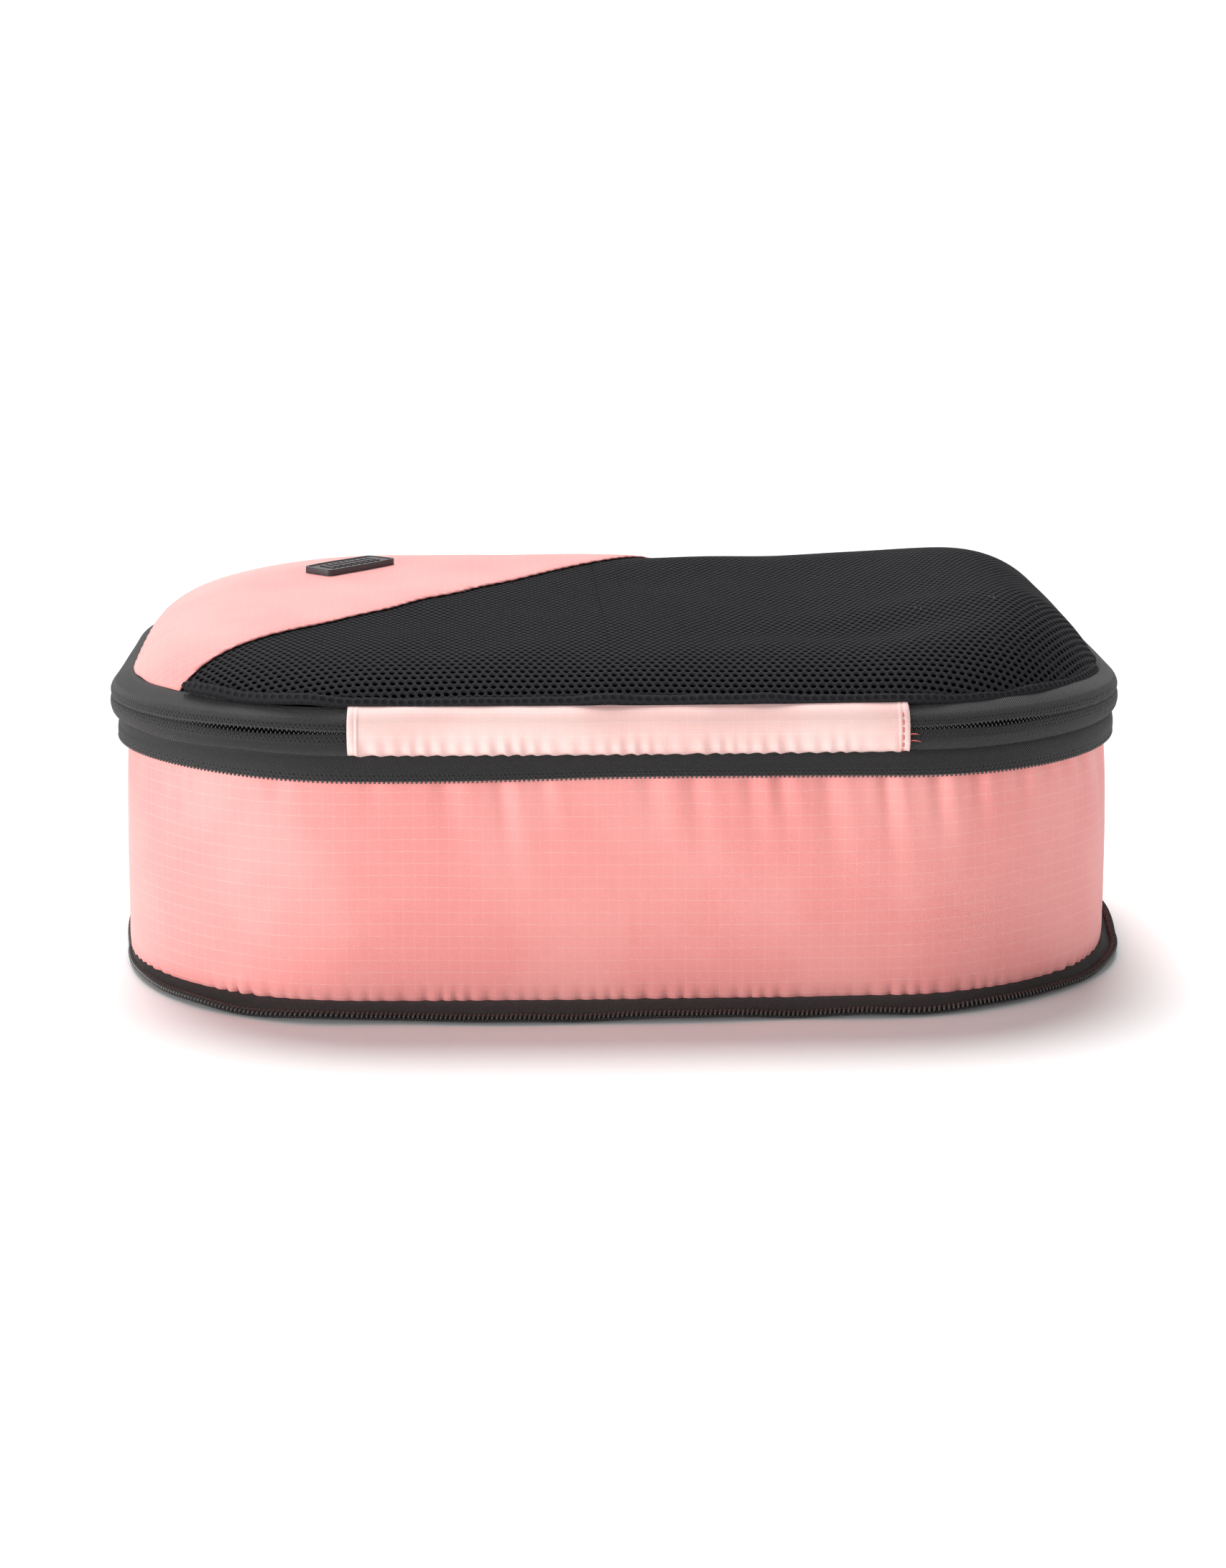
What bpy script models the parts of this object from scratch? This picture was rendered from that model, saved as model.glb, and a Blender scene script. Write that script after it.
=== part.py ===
"""Compression packing cube, shown unzipped to its full height.

A soft box of coral ripstop cloth with a mesh lid. A main zip runs round the lid on three and a half
sides, and a cloth strip in the middle of the front joins the lid to the rim and works as its hinge. A
second zip, the compression zip, is open: its upper half hangs from the rim, and its lower half lies
round the foot of the wall. The wall between them folds away when the cube is compressed.

The frame: +Z up, +X to the right of someone facing the hinge strip, the strip on the -Y side. The
origin is the middle of the foot, on the surface that the cube stands on.
"""

from math import cos, pi, radians, sin

import bmesh
import bpy
from mathutils import Matrix, Vector

MM = 0.001

# Driving dimensions
WIDTH = 350 * MM  # seam line of the rim, side to side
DEPTH = 250 * MM  # seam line of the rim, front to back
CORNER = 80 * MM  # radius of the seam line's corners
BOW_FRONT = 5 * MM  # how far the front bellies out in its middle
BOW_SIDE = 3 * MM  # how far each side bellies out
SEAM_Z = 91 * MM  # where the wall meets the rim
SEAM_UP = SEAM_Z / MM  # the same, for the profiles below, which are in millimetres
PARTING_Z = 98.5 * MM  # the line of the main zip, where the lid leaves the rim
LID_EDGE_Z = 106 * MM  # where the lid's cloth meets its zip tape
DOME = 18 * MM  # how far the lid crowns above its edge
CROWN_POWER = 11  # how flat the crown is on top, and so how steep at its edge
FULLER = 0.03  # how much the crown rises towards the right, as a slope
STRIP_LENGTH = 188 * MM  # the hinge strip
TAPE = 0.6 * MM  # thickness of a zip tape
CLOTH = 0.9 * MM  # thickness that stands for a single layer of cloth and its coating
GAP = 0.3 * MM  # clearance left between neighbouring pieces

# The seam line before it bellies out
HALF_W = WIDTH / 2 - BOW_SIDE
HALF_D = (DEPTH - BOW_FRONT) / 2
MIDDLE_Y = BOW_FRONT / 2

# Zip sliders
SLIDER_LENGTH = 11 * MM
MAIN_SLIDER_X = 7 * MM  # the two sliders meet in the middle of the back
COMPRESSION_SLIDER_X = 17 * MM
COMPRESSION_SLIDER_Z = 81.3 * MM
PULL_LENGTH = 18 * MM
TAB_HOLE = 15.6 * MM  # from the pull's pivot to the middle of the hole for its ribbon
RIBBON_LOOP = 22 * MM
RIBBON = 0.9 * MM
RIBBON_WIDTH = 3.4 * MM
ZIP_END_GAP = 6 * MM  # between the two ends of the compression zip, in the middle of the back

# The lid's seam between mesh and corner panel, as two points in plan
SEAM_FROM = Vector((-162 * MM, -110.5 * MM))
SEAM_TO = Vector((37 * MM, 126.3 * MM))
BADGE_X, BADGE_Y = -98 * MM, 60 * MM
BADGE_RISE = 2.3 * MM  # from the crown to the middle of the badge

END_TAB_LENGTH = 16 * MM  # the cloth tabs that cover the ends of the compression zip

BOTTOM_THICKNESS = 1.2 * MM
BOTTOM_INSET = 3.0 * MM  # from the seam line in to the edge of the bottom panel

STATIONS = 64  # stops round the whole seam line

FRONT_HALF = 2 * (HALF_W - CORNER)
SIDE_LENGTH = 2 * (HALF_D - CORNER)
QUARTER_TURN = pi / 2 * CORNER
ROUND = 2 * FRONT_HALF + 2 * SIDE_LENGTH + 4 * QUARTER_TURN


def clear_scene():
    for obj in list(bpy.data.objects):
        bpy.data.objects.remove(obj)


def material(name, colour, roughness, metallic=0.0):
    made = bpy.data.materials.new(name)
    made.use_nodes = True
    shader = made.node_tree.nodes["Principled BSDF"]
    shader.inputs["Base Color"].default_value = (*colour, 1.0)
    shader.inputs["Roughness"].default_value = roughness
    shader.inputs["Metallic"].default_value = metallic
    made.diffuse_color = (*colour, 1.0)
    return made


def outline(share):
    """A point on the seam line, that share of the way round from the middle of the front, anticlockwise."""
    walk = (share % 1.0) * ROUND + FRONT_HALF / 2
    for side in range(5):
        along = HALF_W - CORNER if side % 2 == 0 else HALF_D - CORNER
        across = HALF_D if side % 2 == 0 else HALF_W
        if walk <= 2 * along:
            point = Vector((walk - along, -across))
            break
        walk -= 2 * along
        if walk <= QUARTER_TURN:
            turn = walk / CORNER
            point = Vector((along + CORNER * sin(turn), CORNER - across - CORNER * cos(turn)))
            break
        walk -= QUARTER_TURN
    point.rotate(Matrix.Rotation(side * pi / 2, 2))
    bulge_x = 1 + BOW_SIDE / HALF_W * (1 - (point.y / HALF_D) ** 2)
    bulge_y = 1 + BOW_FRONT / HALF_D * (1 - (point.x / HALF_W) ** 2) if point.y < 0 else 1.0
    return Vector((point.x * bulge_x, point.y * bulge_y + MIDDLE_Y))


def station(share):
    """The frame at that share of the way round: X outwards, Y along the seam, Z up."""
    step = 0.001
    centre = outline(share)
    along = (outline(share + step) - outline(share - step)).normalized()
    out = Vector((along.y, -along.x))
    return Matrix(
        (
            (out.x, along.x, 0, centre.x),
            (out.y, along.y, 0, centre.y),
            (0, 0, 1, 0),
            (0, 0, 0, 1),
        )
    )


def finish(bm, name, look, smooth_angle=35):
    """Turns a bmesh into a named object with its normals outwards and its material on."""
    bmesh.ops.recalc_face_normals(bm, faces=bm.faces)
    mesh = bpy.data.meshes.new(name)
    bm.to_mesh(mesh)
    bm.free()
    mesh.shade_smooth()
    mesh.set_sharp_from_angle(angle=radians(smooth_angle))
    mesh.materials.append(look)
    obj = bpy.data.objects.new(name, mesh)
    bpy.context.scene.collection.objects.link(obj)
    return obj


def grow(bm, edges, matrix):
    """Extrudes a loop of edges and moves the new loop by matrix. Returns the new loop."""
    made = bmesh.ops.extrude_edge_only(bm, edges=edges)["geom"]
    verts = [e for e in made if isinstance(e, bmesh.types.BMVert)]
    bmesh.ops.transform(bm, matrix=matrix, verts=verts)
    return [e for e in made if isinstance(e, bmesh.types.BMEdge) and e.is_boundary]


def first_loop(bm, points):
    verts = [bm.verts.new(p) for p in points]
    return [bm.edges.new((verts[i - 1], verts[i])) for i in range(len(verts))]


def no_change(share):
    return Matrix.Identity(4)


def sweep(name, look, section, start=0.0, end=1.0, reshape=no_change):
    """Carries a cross-section, given as (outwards, up) points in millimetres, along the seam line."""
    bm = bmesh.new()
    here = station(start) @ reshape(start)
    loop = first_loop(bm, [here @ Vector((out * MM, 0, up * MM)) for out, up in section])
    steps = max(2, round(STATIONS * (end - start)))
    for i in range(1, steps + 1):
        share = start + (end - start) * i / steps
        there = station(share) @ reshape(share)
        loop = grow(bm, loop, there @ here.inverted())
        here = there
    if end - start >= 1.0:
        bmesh.ops.remove_doubles(bm, verts=bm.verts, dist=0.01 * MM)
    else:
        bmesh.ops.holes_fill(bm, edges=[e for e in bm.edges if e.is_boundary])
    return finish(bm, name, look)


def skin(face_line, thickness):
    """A closed cross-section from one face's (outwards, up) points, thickened inwards, in millimetres."""
    back = []
    for i, (out, up) in enumerate(face_line):
        before = Vector(face_line[max(i - 1, 0)])
        after = Vector(face_line[min(i + 1, len(face_line) - 1)])
        way = (after - before).normalized()
        back.append((out - way.y * thickness, up + way.x * thickness))
    return list(face_line) + back[::-1]


def share_at(length_from_front_middle):
    return length_from_front_middle / ROUND


def box(bm, low, high):
    """A box between two corners, in metres."""
    low, high = Vector(low), Vector(high)
    place = Matrix.Translation((low + high) / 2) @ Matrix.Diagonal((*(high - low), 1))
    return bmesh.ops.create_cube(bm, size=1, matrix=place)


def helper(obj):
    """A cutter or a guide: it shapes a neighbour and isn't a piece itself."""
    obj.hide_render = True
    obj.display_type = "WIRE"
    return obj


def combine(target, tool, operation):
    """Joins a helper to a piece, or cuts it out of it."""
    modifier = target.modifiers.new(operation.title(), "BOOLEAN")
    modifier.operation = operation
    modifier.object = helper(tool)


def bevelled(obj, width, segments=2):
    modifier = obj.modifiers.new("Bevel", "BEVEL")
    modifier.width = width
    modifier.segments = segments
    modifier.limit_method = "ANGLE"
    return obj


def facing_front_or_back(share):
    """1 where the seam line runs along the front or the back, 0 along the sides."""
    return abs(station(share)[1][0])


def narrowed_at_sides(share):
    """The open tape sticks out less along the sides than along the front and the back."""
    return Matrix.Diagonal((0.45 + 0.55 * facing_front_or_back(share), 1, 1, 1))


def shifted_at_sides(share):
    return Matrix.Translation((-0.55 * 9.9 * MM * (1 - facing_front_or_back(share)), 0, 0))


# ---------------------------------------------------------------- base
def make_bottom_panel(look):
    bm = bmesh.new()
    points = []
    for i in range(STATIONS):
        points.append(station(i / STATIONS) @ Vector((-BOTTOM_INSET, 0, 0)))
    loop = first_loop(bm, points)
    bmesh.ops.contextual_create(bm, geom=loop)
    made = bmesh.ops.extrude_face_region(bm, geom=list(bm.faces))["geom"]
    lifted = [v for v in made if isinstance(v, bmesh.types.BMVert)]
    bmesh.ops.translate(bm, vec=(0, 0, BOTTOM_THICKNESS), verts=lifted)
    return finish(bm, "bottom_panel", look)


def make_base(coral, black, coil_black):
    make_bottom_panel(coral)
    wall = [(-1.4, 1.6), (-0.6, 4), (0.2, 10), (0.7, 28), (0.5, 50), (-0.3, 70), (-1.1, 81), (-1.6, SEAM_UP - 0.4)]
    sweep("gusset_wall", coral, skin(wall, CLOTH / MM))
    half = share_at(ROUND / 2 - ZIP_END_GAP / 2)
    tape = [(0.5, 6.6), (5.6, 3.8), (11.8, 1.0)]
    under = [(out, up - TAPE / MM) for out, up in tape]
    sweep("compression_tape_lower", black, tape + under[::-1], -half, half, narrowed_at_sides)
    coil = [(9.6, 2.5), (11.8, 1.6), (12.2, 2.4), (11.6, 3.5), (10.0, 4.2), (9.3, 3.5)]
    sweep("compression_coil_lower", coil_black, coil, -half, half, shifted_at_sides)
    end_tab = share_at(END_TAB_LENGTH / 2)
    tab = [(1.1, 7.2), (5.8, 4.4), (8.6, 3.2)]
    over = [(out, up + CLOTH / MM) for out, up in tab]
    sweep("zip_end_tab_lower", coral, tab + over[::-1], 0.5 - end_tab, 0.5 + end_tab)
    sweep("bottom_seam_binding", black, [(-5.2, 1.6), (-3.0, 1.6), (-2.8, 6.0), (-4.6, 6.4)])


# ---------------------------------------------------------------- rim
def make_rim(coral, black, coil_black):
    half = share_at(ROUND / 2 - ZIP_END_GAP / 2)
    flap = [(2.8, 82.6), (2.6, 87), (2.2, SEAM_UP)]
    sweep("compression_tape_upper", black, skin(flap, TAPE / MM), -half, half)
    coil = [(1.0, 82.3), (1.8, 82.1), (1.8, 84.6), (1.0, 84.6)]
    sweep("compression_coil_upper", coil_black, coil, -half, half)
    end_tab = share_at(END_TAB_LENGTH / 2)
    tab = [(4.0, 81.6), (3.8, 87), (3.4, SEAM_UP)]
    sweep("zip_end_tab_upper", coral, skin(tab, CLOTH / MM), 0.5 - end_tab, 0.5 + end_tab)
    sweep("rim_seam_binding", black, [(-4.9, 86.5), (-3.0, 86.5), (-3.2, SEAM_UP), (-4.6, SEAM_UP + 0.4)])

    start = share_at(STRIP_LENGTH / 2 + GAP)
    lower = [(2.6, SEAM_UP + 0.4), (3.1, 94.5), (2.9, 97.6)]
    sweep("main_tape_lower", black, skin(lower, TAPE / MM), start, 1 - start)
    coil = [(1.0, 95.5), (2.0, 95.5), (2.0, 97.7), (1.0, 97.7)]
    sweep("main_coil_lower", coil_black, coil, start, 1 - start)
    strip = [(3.0, SEAM_UP + 0.4), (3.7, 94.5), (3.4, 98.2)]
    end = share_at(STRIP_LENGTH / 2)
    sweep("hinge_strip_rim_half", coral, skin(strip, CLOTH / MM), -end, end)


# ---------------------------------------------------------------- lid
def crown(share):
    """How high the lid stands above its edge: share is 0 in the middle of the lid and 1 at its edge."""
    return DOME * (1 - share**CROWN_POWER)


def lid_sheet(side):
    """The crowned lid surface on one side of the diagonal seam, as an open sheet."""
    bm = bmesh.new()
    edge_out, edge_up = -2.9 * MM, LID_EDGE_Z + GAP
    points = [station(i / STATIONS) @ Vector((edge_out, 0, edge_up)) for i in range(STATIONS)]
    loop = first_loop(bm, points)
    shares = (1.0, 0.985, 0.965, 0.94, 0.9, 0.84, 0.74, 0.55)
    for share, next_share in zip(shares, shares[1:]):
        shrink = next_share / share
        rise = Matrix.Translation((0, 0, crown(next_share) - crown(share)))
        loop = grow(bm, loop, rise @ Matrix.Diagonal((shrink, shrink, 1, 1)))
    bmesh.ops.contextual_create(bm, geom=loop)
    for v in bm.verts:
        v.co.z += FULLER * v.co.x * (v.co.z - edge_up) / DOME
    way = (SEAM_TO - SEAM_FROM).normalized()
    across = Vector((-way.y, way.x, 0)) * side
    middle = (SEAM_FROM + SEAM_TO) / 2
    bmesh.ops.bisect_plane(
        bm,
        geom=list(bm.verts) + list(bm.edges) + list(bm.faces),
        plane_co=Vector((middle.x, middle.y, 0)) + across * GAP / 2,
        plane_no=across,
        clear_inner=True,
    )
    bmesh.ops.connect_verts_concave(bm, faces=bm.faces)
    return bm


def make_lid_panel(name, look, side):
    obj = finish(lid_sheet(side), name, look, smooth_angle=60)
    if obj.data.polygons[0].normal.z < 0:
        obj.data.flip_normals()
    thick = obj.modifiers.new("Thickness", "SOLIDIFY")
    thick.thickness = CLOTH
    thick.offset = -1
    return obj


def make_badge(look):
    """A soft rubber badge on the corner panel, its long side along the diagonal seam."""
    size = Vector((38 * MM, 14 * MM, 2.4 * MM))
    way = SEAM_TO - SEAM_FROM
    bm = bmesh.new()
    box(bm, -size / 2, size / 2)
    obj = finish(bm, "badge", look)
    obj.rotation_euler.z = Vector((1, 0)).angle_signed(way) * -1
    obj.location = (BADGE_X, BADGE_Y, LID_EDGE_Z + DOME + FULLER * BADGE_X + BADGE_RISE)
    bevelled(obj, 0.7 * MM)
    return obj


def make_lid(coral, black, mesh_black, coil_black, rubber):
    make_lid_panel("mesh_panel", mesh_black, -1)
    make_lid_panel("corner_panel", coral, 1)
    make_badge(rubber)
    start = share_at(STRIP_LENGTH / 2 + GAP)
    upper = [(2.9, 99.4), (2.3, 102.8), (-2.5, 105.9)]
    sweep("main_tape_upper", black, skin(upper, TAPE / MM), start, 1 - start)
    coil = [(0.9, 99.3), (1.9, 99.3), (1.6, 101.5), (0.9, 101.5)]
    sweep("main_coil_upper", coil_black, coil, start, 1 - start)
    strip = [(3.4, 98.8), (2.9, 102.8), (-2.2, 106.0)]
    end = share_at(STRIP_LENGTH / 2)
    sweep("hinge_strip_lid_half", coral, skin(strip, CLOTH / MM), -end, end)
    sweep("lid_seam_binding", black, [(-6.2, 101.2), (-4.2, 101.0), (-4.4, 104.4), (-6.0, 104.6)])


# ---------------------------------------------------------------- sliders
def make_slider(name, look, x, y, z):
    """A zip slider: two plates joined by a rib, with a bridge on the outer plate for the pull.

    y is the seam line there, and z the line that the two halves of the zip close on.
    """
    section = [
        (-0.5, -4.1), (1.2, -4.1), (1.2, -3.4), (0.6, -3.4), (0.6, -0.45),
        (3.5, -0.45), (3.5, -4.1), (4.7, -4.1), (4.7, 4.1), (3.5, 4.1), (3.5, 0.45),
        (0.6, 0.45), (0.6, 4.1), (-0.5, 4.1),
    ]
    bm = bmesh.new()
    points = []
    for out, up in section:
        points.append((x - SLIDER_LENGTH / 2, y + out * MM, z + up * MM))
    loop = first_loop(bm, points)
    bmesh.ops.contextual_create(bm, geom=loop)
    made = bmesh.ops.extrude_face_region(bm, geom=list(bm.faces))["geom"]
    moved = [v for v in made if isinstance(v, bmesh.types.BMVert)]
    bmesh.ops.translate(bm, vec=(SLIDER_LENGTH, 0, 0), verts=moved)
    body = finish(bm, name, look)

    bm = bmesh.new()
    face = 4.7 * MM
    arch = [
        (-4.1, -0.4), (-4.1, 2.6), (-3.1, 3.6), (3.1, 3.6), (4.1, 2.6), (4.1, -0.4),
        (3.0, -0.4), (3.0, 2.1), (2.5, 2.6), (-2.5, 2.6), (-3.0, 2.1), (-3.0, -0.4),
    ]
    loop = first_loop(bm, [(x + along * MM, y + face + up * MM, z - 1.0 * MM) for along, up in arch])
    bmesh.ops.contextual_create(bm, geom=loop)
    made = bmesh.ops.extrude_face_region(bm, geom=list(bm.faces))["geom"]
    moved = [v for v in made if isinstance(v, bmesh.types.BMVert)]
    bmesh.ops.translate(bm, vec=(0, 0, 2.0 * MM), verts=moved)
    combine(body, finish(bm, name + "_bridge", look), "UNION")
    return body


def pull_pivot(x, y, z, way):
    """Where the pull's bar runs through the slider's bridge."""
    return Vector((x + way * 1.2 * MM, y + 6.4 * MM, z))


def turned(obj, pivot, way):
    """Puts a piece of a pull on its pivot, pointing along way, +1 or -1."""
    obj.location = pivot
    obj.rotation_euler.z = 0 if way > 0 else pi
    return obj


def make_pull_tab(name, look, pivot, way):
    """A flat pull tab, with one hole for the slider's bridge and one for the ribbon."""
    bm = bmesh.new()
    box(bm, (-0.6 * MM, -0.6 * MM, -3.2 * MM), (PULL_LENGTH, 0.6 * MM, 3.2 * MM))
    tab = turned(finish(bm, name, look), pivot, way)
    bm = bmesh.new()
    box(bm, (0.6 * MM, -2 * MM, -1.4 * MM), (5.8 * MM, 2 * MM, 1.4 * MM))
    bridge_hole = turned(finish(bm, name + "_bridge_hole", look), pivot, way)
    bm = bmesh.new()
    box(bm, (TAB_HOLE - 1.2 * MM, -2 * MM, -2.1 * MM), (TAB_HOLE + 1.2 * MM, 2 * MM, 2.1 * MM))
    ribbon_hole = turned(finish(bm, name + "_ribbon_hole", look), pivot, way)
    combine(tab, bridge_hole, "DIFFERENCE")
    combine(tab, ribbon_hole, "DIFFERENCE")


def stadium(bm, bend, near, far):
    """An outline with two straight runs and two half-round ends, lying flat."""
    points = []
    for middle, start in ((near, pi / 2), (far, -pi / 2)):
        for i in range(9):
            turn = start + pi * i / 8
            points.append((middle + bend * cos(turn), bend * sin(turn), -RIBBON_WIDTH / 2))
    return first_loop(bm, points)


def make_pull_ribbon(name, look, pivot, way):
    """A strip of ribbon through the hole of a pull tab, folded over and sewn to itself as a loop."""
    bend = 1.9 * MM
    near, far = TAB_HOLE + bend, TAB_HOLE + RIBBON_LOOP
    bm = bmesh.new()
    inner = stadium(bm, bend - RIBBON / 2, near, far)
    outer = stadium(bm, bend + RIBBON / 2, near, far)
    bmesh.ops.bridge_loops(bm, edges=inner + outer)
    made = bmesh.ops.extrude_face_region(bm, geom=list(bm.faces))["geom"]
    lifted = [v for v in made if isinstance(v, bmesh.types.BMVert)]
    bmesh.ops.translate(bm, vec=(0, 0, RIBBON_WIDTH), verts=lifted)
    turned(finish(bm, name, look), pivot, way)


def make_sliders(painted, ribbon_black):
    back = DEPTH / 2
    places = (
        ("main", "_left", -MAIN_SLIDER_X, PARTING_Z, -1),
        ("main", "_right", MAIN_SLIDER_X, PARTING_Z, 1),
        ("compression", "", COMPRESSION_SLIDER_X, COMPRESSION_SLIDER_Z, 1),
    )
    for zip_name, side, x, z, way in places:
        make_slider(f"{zip_name}_slider{side}", painted, x, back, z)
        pivot = pull_pivot(x, back, z, way)
        make_pull_tab(f"{zip_name}_pull_tab{side}", painted, pivot, way)
        make_pull_ribbon(f"{zip_name}_pull_ribbon{side}", ribbon_black, pivot, way)


def main():
    clear_scene()
    coral = material("coral_ripstop", (0.93, 0.37, 0.36), 0.62)
    black = material("zip_tape", (0.035, 0.034, 0.036), 0.8)
    mesh_black = material("lid_mesh", (0.03, 0.03, 0.034), 0.7)
    coil_black = material("nylon_coil", (0.02, 0.019, 0.02), 0.35)
    rubber = material("badge_rubber", (0.05, 0.04, 0.045), 0.45)
    painted = material("slider_paint", (0.03, 0.03, 0.032), 0.3, 0.6)
    ribbon_black = material("pull_ribbon", (0.025, 0.024, 0.026), 0.75)
    make_base(coral, black, coil_black)
    make_rim(coral, black, coil_black)
    make_lid(coral, black, mesh_black, coil_black, rubber)
    make_sliders(painted, ribbon_black)


main()
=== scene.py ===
# %% [markdown]
# A compression packing cube: a soft case of coral ripstop with a mesh lid on a cloth hinge. The packed
# model is loaded first as a fixed frame, and every piece below is made where that frame says. All the
# cloth runs round one seam line, a rounded rectangle that bellies out a little, so nearly every piece is
# made flat, as a tailor cuts it, and then wrapped round that line.

# %% Load the frame
from math import atan2, cos, pi, radians, sin

import bmesh
import bpy
import numpy as np
from mathutils import Matrix, Vector


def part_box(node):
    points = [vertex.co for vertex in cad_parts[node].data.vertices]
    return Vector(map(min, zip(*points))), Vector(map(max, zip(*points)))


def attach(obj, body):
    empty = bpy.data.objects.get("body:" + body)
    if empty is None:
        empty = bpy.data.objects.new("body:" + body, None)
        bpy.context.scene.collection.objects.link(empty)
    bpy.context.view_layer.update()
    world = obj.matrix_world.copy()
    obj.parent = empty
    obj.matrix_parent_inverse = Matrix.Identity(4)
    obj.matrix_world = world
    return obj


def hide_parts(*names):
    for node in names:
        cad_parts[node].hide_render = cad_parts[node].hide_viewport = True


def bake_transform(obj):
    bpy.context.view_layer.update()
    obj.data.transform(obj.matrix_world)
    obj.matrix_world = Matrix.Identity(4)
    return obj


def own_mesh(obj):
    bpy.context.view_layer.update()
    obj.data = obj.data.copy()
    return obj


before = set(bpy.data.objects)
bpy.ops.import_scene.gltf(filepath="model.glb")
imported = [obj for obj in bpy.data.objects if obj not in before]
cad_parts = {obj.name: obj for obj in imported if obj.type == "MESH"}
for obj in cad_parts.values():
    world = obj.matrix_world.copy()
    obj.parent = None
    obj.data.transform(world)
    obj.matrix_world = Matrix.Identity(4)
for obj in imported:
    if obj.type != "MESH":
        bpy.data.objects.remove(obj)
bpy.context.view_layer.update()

MM = 0.001

# %% [markdown]
# The seam line. Its size comes from the wall's box, and its corners, its belly and the heights of the
# zips are the maker's own measures. It is sampled once as a table of points and outward directions, and
# `wrap` reads that table: it takes a flat place, given as length along the line, distance outwards and
# height, and gives the place on the cube. A Curve modifier could bend flat pieces too. A table was chosen
# because a piece can then also change along the line, such as a fold that fades out at a corner.

# %% The seam line as a table
wall_low, wall_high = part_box("gusset_wall")
WALL_PROUD = 0.7 * MM
CORNER = 80 * MM
BOW_FRONT, BOW_SIDE = 5 * MM, 3 * MM
HALF_W = wall_high.x - WALL_PROUD - BOW_SIDE
HALF_D = (wall_high.y - wall_low.y) / 2 - WALL_PROUD - BOW_FRONT / 2
MIDDLE_Y = BOW_FRONT / 2
PARTING_Z = 98.5 * MM
LID_EDGE_Z = 106 * MM
STRIP_HALF = 94 * MM


def rounded_rectangle(steps):
    """Points round the seam line before it bellies out, from the middle of the front, anticlockwise."""
    long_run, short_run, turn = 2 * (HALF_W - CORNER), 2 * (HALF_D - CORNER), pi / 2 * CORNER
    total = 2 * (long_run + short_run) + 4 * turn
    points = []
    for i in range(steps):
        walk = total * i / steps + long_run / 2
        side = 0
        while True:
            run = (long_run, short_run)[side % 2]
            along, across = ((HALF_W, HALF_D), (HALF_D, HALF_W))[side % 2]
            if walk <= run:
                point = Vector((walk - run / 2, -across))
                break
            walk -= run
            if walk <= turn:
                angle = walk / CORNER
                centre = Vector((along - CORNER, CORNER - across))
                point = centre + CORNER * Vector((sin(angle), -cos(angle)))
                break
            walk -= turn
            side += 1
        points.append(Matrix.Rotation(side * pi / 2, 2) @ point)
    return np.array(points)


plan = rounded_rectangle(4000)
belly_x = 1 + BOW_SIDE / HALF_W * (1 - (plan[:, 1] / HALF_D) ** 2)
front = plan[:, 1] < 0
belly_y = 1 + np.where(front, BOW_FRONT / HALF_D * (1 - (plan[:, 0] / HALF_W) ** 2), 0)
plan = np.stack([plan[:, 0] * belly_x, plan[:, 1] * belly_y + MIDDLE_Y], axis=1)
step_lengths = np.linalg.norm(np.roll(plan, -1, axis=0) - plan, axis=1)
ROUND = step_lengths.sum()
length_at = np.concatenate([[0], np.cumsum(step_lengths)])
plan_x = np.append(plan[:, 0], plan[0, 0])
plan_y = np.append(plan[:, 1], plan[0, 1])
ways = np.roll(plan, -1, axis=0) - np.roll(plan, 1, axis=0)
ways /= np.linalg.norm(ways, axis=1)[:, None]
out_x = np.append(ways[:, 1], ways[0, 1])
out_y = np.append(-ways[:, 0], -ways[0, 0])


def wrap(flat):
    """Flat places (length along the seam line, outwards, up) to places on the cube."""
    along = np.mod(flat[:, 0], ROUND)
    x = np.interp(along, length_at, plan_x) + flat[:, 1] * np.interp(along, length_at, out_x)
    y = np.interp(along, length_at, plan_y) + flat[:, 1] * np.interp(along, length_at, out_y)
    return np.stack([x, y, flat[:, 2]], axis=1)


def facing_out(along):
    """How much the seam line there faces the front or the back, 1, and not a side, 0."""
    return np.abs(np.interp(np.mod(along, ROUND), length_at, out_y))


def past(along, place):
    """How far along is past a place on the seam line, the short way round."""
    return np.mod(along - place + ROUND / 2, ROUND) - ROUND / 2


def bell(away, width):
    """1 where away is 0, easing to 0 on both sides."""
    return np.exp(-((away / width) ** 2))


print("round the seam line", round(ROUND, 4), "m")

# %% [markdown]
# Small helpers for meshes. Blender's mesh operators make each flat shape, numpy moves all its points at
# once, and a piece is finished by one function that gives it its material, its CAD node and its body.

# %% Mesh helpers
scene = bpy.context.scene


def places_of(mesh):
    flat = np.empty(len(mesh.vertices) * 3)
    mesh.vertices.foreach_get("co", flat)
    return flat.reshape(-1, 3)


def move_to(mesh, places):
    mesh.vertices.foreach_set("co", places.ravel())
    mesh.update()


def to_mesh(bm, name):
    mesh = bpy.data.meshes.new(name)
    bm.to_mesh(mesh)
    bm.free()
    return mesh


def opened(mesh):
    """The mesh as a bmesh, to be changed."""
    bm = bmesh.new()
    bm.from_mesh(mesh)
    return bm


def flat_grid(name, columns, rows):
    bm = bmesh.new()
    bmesh.ops.create_grid(bm, x_segments=columns, y_segments=rows, size=0.5)
    return to_mesh(bm, name)


def without(mesh, unwanted):
    """The mesh without the points that are marked as unwanted."""
    bm = opened(mesh)
    bmesh.ops.delete(bm, geom=[v for v, gone in zip(list(bm.verts), unwanted) if gone], context="VERTS")
    return to_mesh(bm, mesh.name)


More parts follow.
